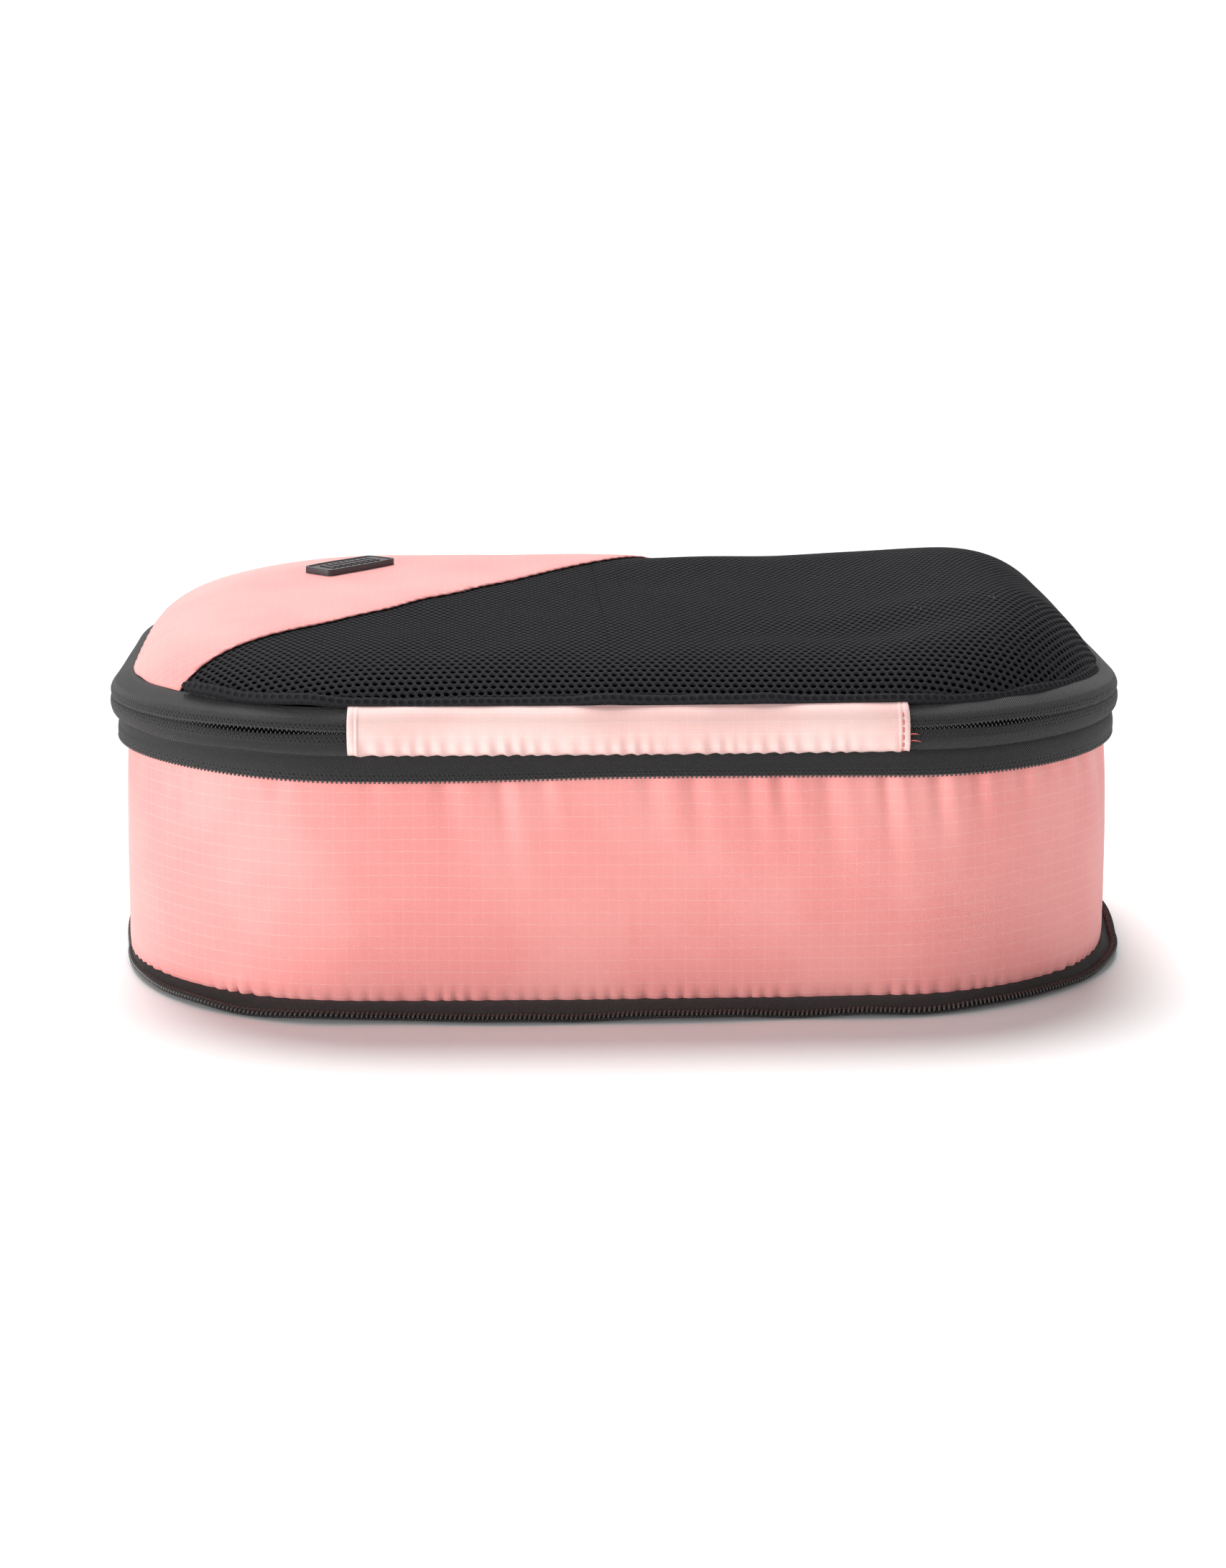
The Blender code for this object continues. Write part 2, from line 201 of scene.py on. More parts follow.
def write_uv(mesh, coordinates):
    """A UV map in metres, one coordinate for each vertex."""
    corners = np.empty(len(mesh.loops), dtype=np.int32)
    mesh.loops.foreach_get("vertex_index", corners)
    layer = mesh.uv_layers.new(name="UVMap")
    layer.uv.foreach_set("vector", coordinates[corners].astype(np.float32).ravel())


def merge_points(mesh, distance=0.02 * MM):
    bm = opened(mesh)
    bmesh.ops.remove_doubles(bm, verts=bm.verts, dist=distance)
    bm.to_mesh(mesh)
    bm.free()


def shaped(obj):
    """The object's mesh with its modifiers applied."""
    scene.collection.objects.link(obj)
    graph = bpy.context.evaluated_depsgraph_get()
    mesh = bpy.data.meshes.new_from_object(obj.evaluated_get(graph))
    bpy.data.objects.remove(obj)
    return mesh


def bead(size, sides, rings, turned, slant=0.0):
    """A ball turned a quarter about one axis, then stretched to a size and slanted."""
    bm = bmesh.new()
    bmesh.ops.create_uvsphere(bm, u_segments=sides, v_segments=rings, radius=0.5)
    bmesh.ops.transform(bm, matrix=Matrix.Rotation(pi / 2, 4, turned), verts=bm.verts)
    stretch = Matrix.Diagonal((*size, 1))
    bmesh.ops.transform(bm, matrix=Matrix.Rotation(slant, 4, "Z") @ stretch, verts=bm.verts)
    return bm


def repeated(bm, name, *steps):
    """A small shape repeated by Array modifiers: steps are (count, offset) pairs."""
    obj = bpy.data.objects.new(name, to_mesh(bm, name))
    for count, offset in steps:
        array = obj.modifiers.new("Array", "ARRAY")
        array.count = count
        array.use_relative_offset = False
        array.use_constant_offset = True
        array.constant_offset_displace = offset
    return shaped(obj)


def piece(
    name, mesh, look, body=None, replaces=(), thickness=0.0, offset=-1.0, smooth=50, back=None
):
    """Makes a named piece of the cube out of a mesh. back is the finish of a thick piece's other face."""
    mesh.name = name
    mesh.materials.clear()
    mesh.materials.append(look)
    if back:
        mesh.materials.append(back)
    mesh.shade_smooth()
    mesh.set_sharp_from_angle(angle=radians(smooth))
    obj = bpy.data.objects.new(name, mesh)
    scene.collection.objects.link(obj)
    if thickness:
        solid = obj.modifiers.new("Thickness", "SOLIDIFY")
        solid.thickness = thickness
        solid.offset = offset
        solid.material_offset = 1 if back else 0
    if body:
        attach(obj, body)
    if replaces:
        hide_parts(*replaces)
    print(name, len(mesh.polygons), "faces")
    return obj


def smooth_line(points, samples=60):
    """A smooth profile through a few (outwards, up) points, as a function of the share along it."""
    points = np.array(points, float)
    steps = np.linalg.norm(np.diff(points, axis=0), axis=1)
    knots = np.concatenate([[0], np.cumsum(steps)])
    slopes = np.gradient(points, knots, axis=0, edge_order=1)
    at = np.linspace(0, knots[-1], samples)
    seg = np.clip(np.searchsorted(knots, at, side="right") - 1, 0, len(points) - 2)
    gap = (knots[seg + 1] - knots[seg])[:, None]
    t = (at - knots[seg])[:, None] / gap
    line = (
        (1 + 2 * t) * (1 - t) ** 2 * points[seg]
        + t * (1 - t) ** 2 * gap * slopes[seg]
        + t**2 * (3 - 2 * t) * points[seg + 1]
        + t**2 * (t - 1) * gap * slopes[seg + 1]
    )
    shares = at / knots[-1]

    def profile(share):
        return np.interp(share, shares, line[:, 0]) * MM, np.interp(share, shares, line[:, 1]) * MM

    profile.length = knots[-1] * MM
    return profile


def strip(name, start, end, columns, rows, profile, shape):
    """Cloth cut as a flat strip, given its profile, then wrapped round the cube.

    shape changes the flat places: it takes along, outwards, up and the share of the strip's width, and
    returns the first three.
    """
    mesh = flat_grid(name, columns, rows)
    flat = places_of(mesh)
    along = start + (flat[:, 0] + 0.5) * (end - start)
    share = flat[:, 1] + 0.5
    write_uv(mesh, np.stack([along, share * profile.length], axis=1))
    outwards, up = profile(share)
    along, outwards, up = shape(along, outwards, up, share)
    move_to(mesh, wrap(np.stack([along, outwards, up], axis=1)))
    merge_points(mesh)
    return mesh


def waves(along, seed, shortest, longest, count=12):
    """A gentle irregular wave along the seam line, between about -1 and 1, that meets itself."""
    source = np.random.default_rng(seed)
    total = np.zeros_like(along)
    for _ in range(count):
        turns = max(1, round(ROUND / source.uniform(shortest, longest)))
        total += source.normal() * np.sin(2 * pi * turns * along / ROUND + source.uniform(0, 2 * pi))
    return total / np.sqrt(count)


# %% [markdown]
# Cloth. Ripstop is a fine twill with a thicker thread every few millimetres each way, which shows as a
# paler grid. The zip tapes are herringbone: a twill that changes its slant from band to band. Both
# patterns follow the thread, so they read the cloth's own UV map, which is in metres. Each pattern is a
# node group that gives masks and heights, and each material keeps its own shader.

# %% Node helpers
class Nodes:
    """Building node trees in fewer words."""

    def __init__(self, tree):
        self.tree = tree

    def add(self, kind, inputs=None, **settings):
        node = self.tree.nodes.new(kind)
        for key, value in settings.items():
            setattr(node, key, value)
        for key, value in (inputs or {}).items():
            self.plug(node.inputs[key], value)
        return node

    def plug(self, socket, value):
        if isinstance(value, bpy.types.NodeSocket):
            self.tree.links.new(value, socket)
        else:
            socket.default_value = value

    def math(self, operation, *values):
        node = self.add("ShaderNodeMath", operation=operation)
        for i, value in enumerate(values):
            self.plug(node.inputs[i], value)
        return node.outputs[0]

    def mix(self, factor, a, b):
        node = self.add("ShaderNodeMix", data_type="RGBA")
        self.plug(node.inputs["Factor"], factor)
        self.plug(node.inputs["A"], a)
        self.plug(node.inputs["B"], b)
        return node.outputs["Result"]

    def fade(self, value, start, end):
        """1 where value is at start, easing to 0 at end."""
        node = self.add("ShaderNodeMapRange", interpolation_type="SMOOTHSTEP")
        for key, item in (("Value", value), ("From Min", start), ("From Max", end)):
            self.plug(node.inputs[key], item)
        node.inputs["To Min"].default_value = 1
        node.inputs["To Max"].default_value = 0
        return node.outputs[0]


def group(name, inputs, outputs):
    """A new node group. Returns it with its nodes, its inputs and a function that plugs its outputs."""
    tree = bpy.data.node_groups.new(name, "ShaderNodeTree")
    for socket, kind, default in inputs:
        made = tree.interface.new_socket(socket, in_out="INPUT", socket_type=kind)
        if default is not None:
            made.default_value = default
    for socket, kind in outputs:
        tree.interface.new_socket(socket, in_out="OUTPUT", socket_type=kind)
    nodes = Nodes(tree)
    given = nodes.add("NodeGroupInput").outputs
    result = nodes.add("NodeGroupOutput")

    def close(**values):
        for socket, value in values.items():
            nodes.plug(result.inputs[socket.replace("_", " ")], value)

    return tree, nodes, given, close


FLOAT, VECTOR = "NodeSocketFloat", "NodeSocketVector"

# %% [markdown]
# Ripstop. Two sets of fine lines make its grid. A Ping-Pong node gives the distance to the nearest line,
# so the lines keep a set width, and a coarse noise moves them a little, since no cloth lies quite
# straight. A second noise breaks the grid's threads into the short paler dashes of the real weave. Each
# thread could be a mesh, but there are thousands of them, and they stand less than a tenth of a
# millimetre high, so colour and a bump are enough.

# %% The ripstop weave
ripstop, n, given, close = group(
    "Ripstop weave",
    [("Place", VECTOR, None), ("Grid Along", FLOAT, 0.00385), ("Grid Up", FLOAT, 0.00415),
     ("Twill Pitch", FLOAT, 0.00062)],
    [("Grid", FLOAT), ("Height", FLOAT), ("Tone", FLOAT)],
)
split = n.add("ShaderNodeSeparateXYZ", {"Vector": given["Place"]})
along, up = split.outputs["X"], split.outputs["Y"]
wobble = n.add("ShaderNodeTexNoise", {"Vector": given["Place"], "Scale": 34.0, "Detail": 3.0})
drift = n.math("MULTIPLY", n.math("SUBTRACT", wobble.outputs["Fac"], 0.5), 0.0012)
lines = []
for axis, pitch in ((along, given["Grid Along"]), (up, given["Grid Up"])):
    moved = n.math("ADD", axis, drift)
    away = n.math("PINGPONG", moved, n.math("MULTIPLY", pitch, 0.5))
    lines.append(n.fade(away, 0.00004, 0.00017))
grid = n.math("MAXIMUM", n.math("MULTIPLY", lines[0], 0.4), n.math("MULTIPLY", lines[1], 0.85))
broken = n.add("ShaderNodeTexNoise", {"Vector": given["Place"], "Scale": 900.0, "Detail": 1.0})
grid = n.math("MULTIPLY", grid, n.math("SUBTRACT", n.math("MULTIPLY", broken.outputs["Fac"], 2.6), 0.55))
slant = n.math("ADD", along, n.math("MULTIPLY", up, 0.55))
twill = n.math("SINE", n.math("MULTIPLY", n.math("DIVIDE", slant, given["Twill Pitch"]), 2 * pi))
cross = n.math("SINE", n.math("MULTIPLY", n.math("DIVIDE", up, 0.0004), 2 * pi))
weave = n.math("ADD", n.math("MULTIPLY", twill, 0.3), n.math("MULTIPLY", cross, 0.12))
patches = n.add("ShaderNodeTexNoise", {"Vector": given["Place"], "Scale": 22.0, "Detail": 3.0})
grid = n.add("ShaderNodeClamp", {"Value": grid}).outputs[0]
close(Grid=grid, Height=n.math("ADD", weave, grid), Tone=patches.outputs["Fac"])
print(ripstop.name, "has", len(ripstop.nodes), "nodes")

# %% [markdown]
# Herringbone. A zip tape is woven in bands, and the twill changes its slant from one band to the next. A
# second Ping-Pong node, across the tape, folds the slant back at each band's edge, and a sine of the
# folded place is the ribs.

# %% The herringbone weave
herringbone, n, given, close = group(
    "Herringbone weave",
    [("Place", VECTOR, None), ("Band", FLOAT, 0.0048), ("Rib Pitch", FLOAT, 0.00095), ("Slope", FLOAT, 1.3)],
    [("Height", FLOAT), ("Tone", FLOAT)],
)
split = n.add("ShaderNodeSeparateXYZ", {"Vector": given["Place"]})
wobble = n.add("ShaderNodeTexNoise", {"Vector": given["Place"], "Scale": 110.0, "Detail": 2.0})
drift = n.math("MULTIPLY", n.math("SUBTRACT", wobble.outputs["Fac"], 0.5), 0.0012)
folded = n.math("MULTIPLY", n.math("PINGPONG", split.outputs["Y"], given["Band"]), given["Slope"])
slant = n.math("ADD", n.math("ADD", split.outputs["X"], folded), drift)
ribs = n.math("SINE", n.math("MULTIPLY", n.math("DIVIDE", slant, given["Rib Pitch"]), 2 * pi))
thread = n.add("ShaderNodeTexNoise", {"Vector": given["Place"], "Scale": 2200.0, "Detail": 1.0})
height = n.math("ADD", n.math("MULTIPLY", ribs, 0.5), n.math("MULTIPLY", thread.outputs["Fac"], 0.6))
close(Height=height, Tone=thread.outputs["Fac"])
print(herringbone.name, "has", len(herringbone.nodes), "nodes")

# %% [markdown]
# The coil is sewn under its tape, and the thread shows on top as two rows of small dots, each in a pit.
# There are thousands, so they are a mask in the material and not meshes. It sinks the cloth with a bump,
# and it darkens the cloth nearly to black, which is painted shade in the pits.

# %% Rows of dotted stitching on a zip tape
dots, n, given, close = group(
    "Stitch dots",
    [("Place", VECTOR, None), ("Row", FLOAT, 0.002), ("Next Row", FLOAT, 0.003), ("Pitch", FLOAT, 0.00156)],
    [("Dots", FLOAT)],
)
split = n.add("ShaderNodeSeparateXYZ", {"Vector": given["Place"]})
marks = []
for row, shift in ((given["Row"], 0.0), (given["Next Row"], 0.00078)):
    off_row = n.math("SUBTRACT", split.outputs["Y"], row)
    half_pitch = n.math("MULTIPLY", given["Pitch"], 0.5)
    off_dot = n.math("PINGPONG", n.math("ADD", split.outputs["X"], shift), half_pitch)
    away = n.math("SQRT", n.math("ADD", n.math("POWER", off_row, 2.0), n.math("POWER", off_dot, 2.0)))
    marks.append(n.fade(away, 0.0001, 0.0005))
close(Dots=n.math("MAXIMUM", marks[0], marks[1]))
print(dots.name, "has", len(dots.nodes), "nodes")

# %% [markdown]
# The finishes. Every one starts from a Principled BSDF. Cloth is rough with a little sheen, the coil is
# glossy nylon, the badge is satin rubber, and the sliders are painted metal with a fine orange peel. Two
# functions make the cloths. A third, `speckled`, makes every finish that is plain but for a fine grain.

# %% How a finish is made
def finish(name, roughness, **sockets):
    """A material with its shader's plain values set. Returns it with its nodes and shader."""
    made = bpy.data.materials.new(name)
    made.use_nodes = True
    nodes = Nodes(made.node_tree)
    shader = made.node_tree.nodes["Principled BSDF"]
    shader.inputs["Roughness"].default_value = roughness
    for key, value in sockets.items():
        shader.inputs[key.replace("_", " ")].default_value = value
    return made, nodes, shader


def bump(nodes, shader, height, distance, strength=1.0):
    made = nodes.add("ShaderNodeBump", {"Height": height, "Distance": distance, "Strength": strength})
    nodes.plug(shader.inputs["Normal"], made.outputs["Normal"])


def speckled(name, roughness, scale, dark, light, detail=2.0, height=None, uneven=None, **sockets):
    """A finish with a fine grain of two colours. uneven is (least, gain) of its roughness."""
    made, n, shader = finish(name, roughness, **sockets)
    place = n.add("ShaderNodeTexCoord").outputs["Object"]
    grain = n.add("ShaderNodeTexNoise", {"Vector": place, "Scale": scale, "Detail": detail}).outputs["Fac"]
    n.plug(shader.inputs["Base Color"], n.mix(grain, dark, light))
    if uneven:
        n.plug(shader.inputs["Roughness"], n.math("ADD", uneven[0], n.math("MULTIPLY", grain, uneven[1])))
    if height:
        bump(n, shader, grain, height)
    return made


def coral_cloth(name, colour, pale, deep):
    """Ripstop: the cloth's own colour, with deeper patches and a paler grid."""
    made, n, shader = finish(name, 0.58, Sheen_Weight=0.25, Sheen_Roughness=0.4, Specular_IOR_Level=0.35)
    shader.inputs["Sheen Tint"].default_value = (1, 0.85, 0.83, 1)
    weave = n.add("ShaderNodeGroup", node_tree=ripstop)
    n.plug(weave.inputs["Place"], n.add("ShaderNodeTexCoord").outputs["UV"])
    base = n.mix(n.fade(weave.outputs["Tone"], 0.35, 0.65), colour, deep)
    base = n.mix(n.math("MULTIPLY", weave.outputs["Grid"], 0.7), base, pale)
    n.plug(shader.inputs["Base Color"], base)
    bump(n, shader, weave.outputs["Height"], 0.00008, 0.6)
    return made


def tape_cloth(name, colour, pale, rows=None):
    """Herringbone tape. rows are the heights of two rows of stitches on its UV map."""
    made, n, shader = finish(name, 0.7, Sheen_Weight=0.1, Sheen_Roughness=0.45, Specular_IOR_Level=0.3)
    place = n.add("ShaderNodeTexCoord").outputs["UV"]
    weave = n.add("ShaderNodeGroup", node_tree=herringbone)
    n.plug(weave.inputs["Place"], place)
    height = weave.outputs["Height"]
    base = n.mix(n.math("ADD", n.math("MULTIPLY", height, 0.6), 0.1), colour, pale)
    if rows:
        stitched = n.add("ShaderNodeGroup", {"Row": rows[0], "Next Row": rows[1]}, node_tree=dots)
        n.plug(stitched.inputs["Place"], place)
        height = n.math("SUBTRACT", height, n.math("MULTIPLY", stitched.outputs["Dots"], 2.2))
        # Painted shade: each stitch dot is darkened nearly to black for the shade in its pit.
        base = n.mix(n.math("MULTIPLY", stitched.outputs["Dots"], 0.85), base, (0.004, 0.004, 0.005, 1))
    n.plug(shader.inputs["Base Color"], base)
    bump(n, shader, height, 0.00035)
    return made


# %% The finishes
TAPE_BLACK, TAPE_GREY = (0.010, 0.0098, 0.0102, 1), (0.068, 0.066, 0.068, 1)
coral = coral_cloth("coral_ripstop", (0.87, 0.345, 0.325, 1), (0.93, 0.54, 0.51, 1), (0.84, 0.30, 0.285, 1))
binding_cloth = tape_cloth("seam_binding", (0.022, 0.022, 0.024, 1), (0.05, 0.05, 0.052, 1))
# Painted shade: a near-black finish for the inside of the wall and of the bottom panel, which stands for the
# shade inside the shut cube. It also makes the net bead's core, partly black net and partly painted shade.
inside_shade = speckled(
    "painted_shade_inside", 0.9, 1600.0, (0.006, 0.006, 0.007, 1), (0.014, 0.014, 0.016, 1), Specular_IOR_Level=0.2
)
net_yarn = speckled(
    "net_yarn", 0.7, 2600.0, (0.010, 0.010, 0.0115, 1), (0.034, 0.034, 0.038, 1), height=0.0004,
    Specular_IOR_Level=0.08,
)
nylon = speckled(
    "nylon_coil", 0.3, 1500.0, (0.018, 0.016, 0.016, 1), (0.075, 0.068, 0.066, 1), uneven=(0.16, 0.2),
    Specular_IOR_Level=0.65,
)
rubber = speckled(
    "badge_rubber", 0.45, 1800.0, (0.022, 0.016, 0.018, 1), (0.045, 0.034, 0.038, 1), detail=3.0,
    height=0.00006, uneven=(0.36, 0.25),
)
paint = speckled(
    "slider_paint", 0.32, 900.0, (0.014, 0.014, 0.015, 1), (0.03, 0.03, 0.032, 1), height=0.00005,
    uneven=(0.25, 0.2), Coat_Weight=0.4, Coat_Roughness=0.15,
)
coral_thread = speckled(
    "coral_thread", 0.45, 3000.0, (0.58, 0.09, 0.08, 1), (0.80, 0.17, 0.15, 1), detail=1.0, height=0.00008,
    Sheen_Weight=0.2,
)
print("materials", len(bpy.data.materials))

# %% [markdown]
# The wall that expands. It is one long strip of ripstop, sewn to the bottom panel and to the rim. Its
# top hangs in soft vertical folds, because the seam above gathers it, and its foot is scalloped by the
# stitches, about one scallop for each stitch. When the rim comes down, the real wall flattens under it,
# but this one keeps its one shape. A cloth simulation would put its folds wherever they fall. Here each
# fold has its own place, depth and length, so that the front of the wall hangs as it should. The other
# folds are drawn at random.

# %% Where the wall folds
FOLDS = (  # place along the seam line, depth, half width, length down from the rim, in millimetres
    (-121, 1.2, 3.0, 26), (-88, 1.2, 2.6, 18), (-63, 1.5, 3.4, 34), (-44, 1.4, 2.4, 42),
    (-30, 1.0, 2.2, 30), (6, 1.5, 3.2, 30), (21, 1.3, 2.6, 34), (40, 1.6, 2.6, 32), (50, 1.8, 2.4, 28),
    (66, 1.8, 3.0, 40), (86, 2.6, 2.2, 34), (104, 2.6, 2.2, 30), (119, 2.6, 2.0, 26), (138, 2.4, 2.0, 24),
    (150, 2.2, 1.8, 20), (160, 2.0, 1.8, 16), (172, 1.6, 2.2, 20),
)
folds = [tuple(v * MM for v in fold) for fold in FOLDS]
noise_source = np.random.default_rng(7)
reach = 0.19
while reach < ROUND - 0.14:
    depth, half_width, drop = noise_source.uniform((0.9, 2.0, 16), (2.3, 3.6, 42)) * MM
    folds.append((reach, depth, half_width, drop))
    reach += noise_source.uniform(0.013, 0.036)
print("folds in the wall", len(folds))

# %% The wall
wall_profile = smooth_line(
    [(-1.6, 3.7), (0.0, 4.4), (0.9, 7.6), (1.1, 16), (1.0, 32), (0.7, 52), (0.2, 68), (-0.4, 80),
     (-1.2, 90.4)]
)
FOOT_Z, WALL_TOP = 3.7 * MM, 90.4 * MM
SCALLOP = 5.9 * MM
scallops = round(ROUND / SCALLOP)


def drape(along, outwards, up, share):
    """The wall's folds, the scallops of its foot and its slack."""
    below = WALL_TOP - up
    for place, depth, half_width, drop in folds:
        spread = half_width * (1 + below / drop * 0.5)
        lean = past(along, place) - 0.10 * below
        fold = bell(lean, spread) - 0.55 * bell(lean - 1.9 * spread, spread)
        drawn_in = 0.85 * depth * fold * bell(below, 0.75 * drop)
        outwards = outwards - drawn_in * np.clip(below / (8 * MM), 0.35, 1)
    turn = 2 * pi * scallops * along / ROUND + 1.4 * waves(along, 3, 0.02, 0.09)
    size = 0.8 + 0.4 * waves(along, 4, 0.03, 0.12)
    pucker = (np.abs(np.sin(turn / 2)) - 0.6) * size * bell(up - FOOT_Z, 4.5 * MM)
    outwards = outwards + 1.1 * MM * pucker
    up = up - 0.8 * MM * pucker
    middle = np.sin(pi * share)
    outwards = outwards + 0.5 * MM * waves(along, 5, 0.05, 0.22) * middle
    up = up + 0.6 * MM * waves(along, 6, 0.08, 0.3) * middle
    return along, outwards, up


mesh = strip("wall", 0, ROUND, 1080, 44, wall_profile, drape)
# The wall's inside face is near black: painted shade for the inside of the shut cube.
wall = piece(
    "gusset_wall_cloth", mesh, coral, "base", ["gusset_wall"], 0.35 * MM, back=inside_shade
)
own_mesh(wall)

# %% [markdown]
# The zips. A coil zip is two woven tapes, each with a spiral of nylon sewn along its edge, whose turns
# interlock as teeth. On the main zip the coils are inside, so only the tips of the teeth show in the slit
# between the tapes. Both tapes roll outwards at the front corners, and the slit gapes a little beyond
# each end of the hinge strip. The tapes could be one extruded band, but then all of the zip would look the
# same, so how far they roll and gape is worked out for each place along the seam line.

# %% How the main zip lies
TAPE = 0.6 * MM
TOOTH_PITCH = ROUND / round(ROUND / (1.56 * MM))
BACK_GAP = 3 * MM
zip_start, zip_end = STRIP_HALF - 4 * MM, ROUND - STRIP_HALF + 4 * MM
half_round = ROUND / 2 - BACK_GAP
FRONT_CORNER = 175 * MM  # from the middle of the front to the middle of a corner, along the seam line


def at_back(along):
    """1 on the straight of the back, where the sliders run, easing to 0 at the corners."""
    away = np.abs(np.mod(along, ROUND) - ROUND / 2)
    return np.clip((130 * MM - away) / (25 * MM), 0, 1)


def slit(along):
    """Half of how far the tapes of the main zip stand apart."""
    from_strip = np.abs(np.abs(past(along, 0)) - STRIP_HALF)
    opening = bell(from_strip - 32 * MM, 20 * MM)
    return (0.2 + 0.75 * opening + 0.06 * waves(along, 9, 0.03, 0.1)) * MM * (1 - 0.6 * at_back(along))


def roll(along):
    """How far the zip rolls outwards at its slit. It is most at the two front corners."""
    left, right = past(along, ROUND - FRONT_CORNER), past(along, FRONT_CORNER)
    corners = 2.8 * bell(left, 60 * MM) + 1.1 * bell(right, 50 * MM)
    gentle = corners + 0.5 * (1 - facing_out(along)) + 0.3 * waves(along, 10, 0.05, 0.2)
    return gentle * MM * (1 - 0.9 * at_back(along))


print("main zip", round(zip_end - zip_start, 4), "m long, with a tooth every", round(TOOTH_PITCH, 5), "m")

# %% The main zip's tapes
def lower_main(along, outwards, up, share):
    outwards = outwards + roll(along) * np.sin(pi / 2 * share) + 0.25 * MM * np.sin(pi * share)
    up = up + share**4 * (PARTING_Z - slit(along) - 98.4 * MM)
    up = up + 0.5 * MM * (1 - share) * waves(along, 11, 0.04, 0.15)
    return along, outwards, up


def upper_main(along, outwards, up, share):
    outwards = outwards + roll(along) * np.cos(pi / 2 * share) + 0.2 * MM * np.sin(pi * share)
    outwards = outwards - 2.6 * MM * share * bell(past(along, ROUND - 0.32), 0.07)
    up = up + (1 - share) ** 4 * (PARTING_Z + slit(along) - 98.6 * MM)
    up = up + 0.4 * MM * share * waves(along, 12, 0.05, 0.2)
    return along, outwards, up


lower_profile = smooth_line(
    [(-3.3, 91.3), (-0.8, 90.9), (1.5, 90.6), (2.7, 91.8), (3.3, 94.2), (3.3, 96.8), (2.9, 98.4)]
)
upper_profile = smooth_line(
    [(3.0, 98.6), (3.2, 99.8), (2.6, 101.8), (1.0, 103.8), (-1.4, 105.2), (-4.2, 106.0), (-6.4, 105.6)]
)
main_rows = (lower_profile.length - 1.3 * MM, lower_profile.length - 2.4 * MM)
tape_main_lower = tape_cloth("main_tape_cloth_lower", TAPE_BLACK, TAPE_GREY, main_rows)
tape_main_upper = tape_cloth("main_tape_cloth_upper", TAPE_BLACK, TAPE_GREY, (1.3 * MM, 2.4 * MM))
mesh = strip("lower", zip_start, zip_end, 620, 14, lower_profile, lower_main)
piece("main_zip_tape_lower", mesh, tape_main_lower, "rim", ["main_tape_lower"], TAPE)
mesh = strip("upper", zip_start, zip_end, 620, 16, upper_profile, upper_main)
piece("main_zip_tape_upper", mesh, tape_main_upper, "lid", ["main_tape_upper"], TAPE)

# %% [markdown]
# The compression zip is open. Its upper tape hangs from the rim as a short loose flap, with its teeth
# along the lower edge. Its lower tape is sewn to the foot of the wall and lies on the ground with its coil
# upwards. A loose tape is never straight, so both are given slow waves. The lower one draws in at the
# front corners, and curls up past the right one.

# %% The compression zip's tapes
def hanging_flap(along, outwards, up, share):
    loose = (1 - share) * (1 - at_back(along))
    outwards = outwards + loose * (0.5 + 0.7 * waves(along, 13, 0.06, 0.25)) * MM
    up = up + (1 - share) * 0.45 * waves(along, 14, 0.05, 0.3) * MM
    return along, outwards, up


flap_profile = smooth_line([(2.7, 82.5), (3.0, 84.5), (2.9, 87.5), (2.1, 90.2), (0.6, 91.4)])
tape_flap = tape_cloth("compression_tape_cloth_upper", TAPE_BLACK, TAPE_GREY, (0.9 * MM, 2.1 * MM))
mesh = strip("flap", -half_round, half_round, 700, 12, flap_profile, hanging_flap)
piece("compression_zip_tape_upper", mesh, tape_flap, "rim", ["compression_tape_upper"], TAPE)

CURL_AT = 0.262  # where the open tape curls up, at the front right corner
FLARES = (  # place along the seam line, and what the open tape's reach gains there
    (ROUND - 0.195, -0.50), (0.15, -0.36), (CURL_AT, 0.34),
)


def flare(along):
    """How far the open tape sticks out there, as a share of its reach at the front."""
    wide = 0.45 + 0.55 * facing_out(along)
    for place, gain in FLARES:
        wide = wide + gain * bell(past(along, place), 0.05)
    return wide * (1 + 0.05 * waves(along, 15, 0.06, 0.2))


def lying_tape(along, outwards, up, share):
    outwards = outwards * np.where(outwards > 0, flare(along), 1)
    curl = 2.6 * bell(np.mod(along, ROUND) - CURL_AT, 0.05)
    up = up + share * (0.35 * waves(along, 16, 0.03, 0.12) + 0.1 + curl) * MM
    return along, outwards, up


ground_profile = smooth_line([(-1.8, 4.2), (0.5, 4.5), (3.6, 3.9), (7.6, 2.2), (10.2, 1.3), (12.4, 1.2)])
# Painted shade: this tape is the same cloth as the flap, but its colours are darker for the shade it lies
# in.
shaded_tape_ground = tape_cloth("compression_tape_cloth_lower", (0.009, 0.0085, 0.009, 1), (0.03, 0.028, 0.029, 1))
mesh = strip("ground", -half_round, half_round, 700, 12, ground_profile, lying_tape)
piece("compression_zip_tape_lower", mesh, shaded_tape_ground, "base", ["compression_tape_lower"], TAPE)

# %% [markdown]
# The teeth. One turn of the coil is a small rounded peg. An Array modifier repeats it into a straight
# row as long as the tape, and the row is wrapped round the cube like the tape itself. A real coil is one
# spiral of nylon, but only the outer side of each turn can be seen, and a peg needs far fewer faces.

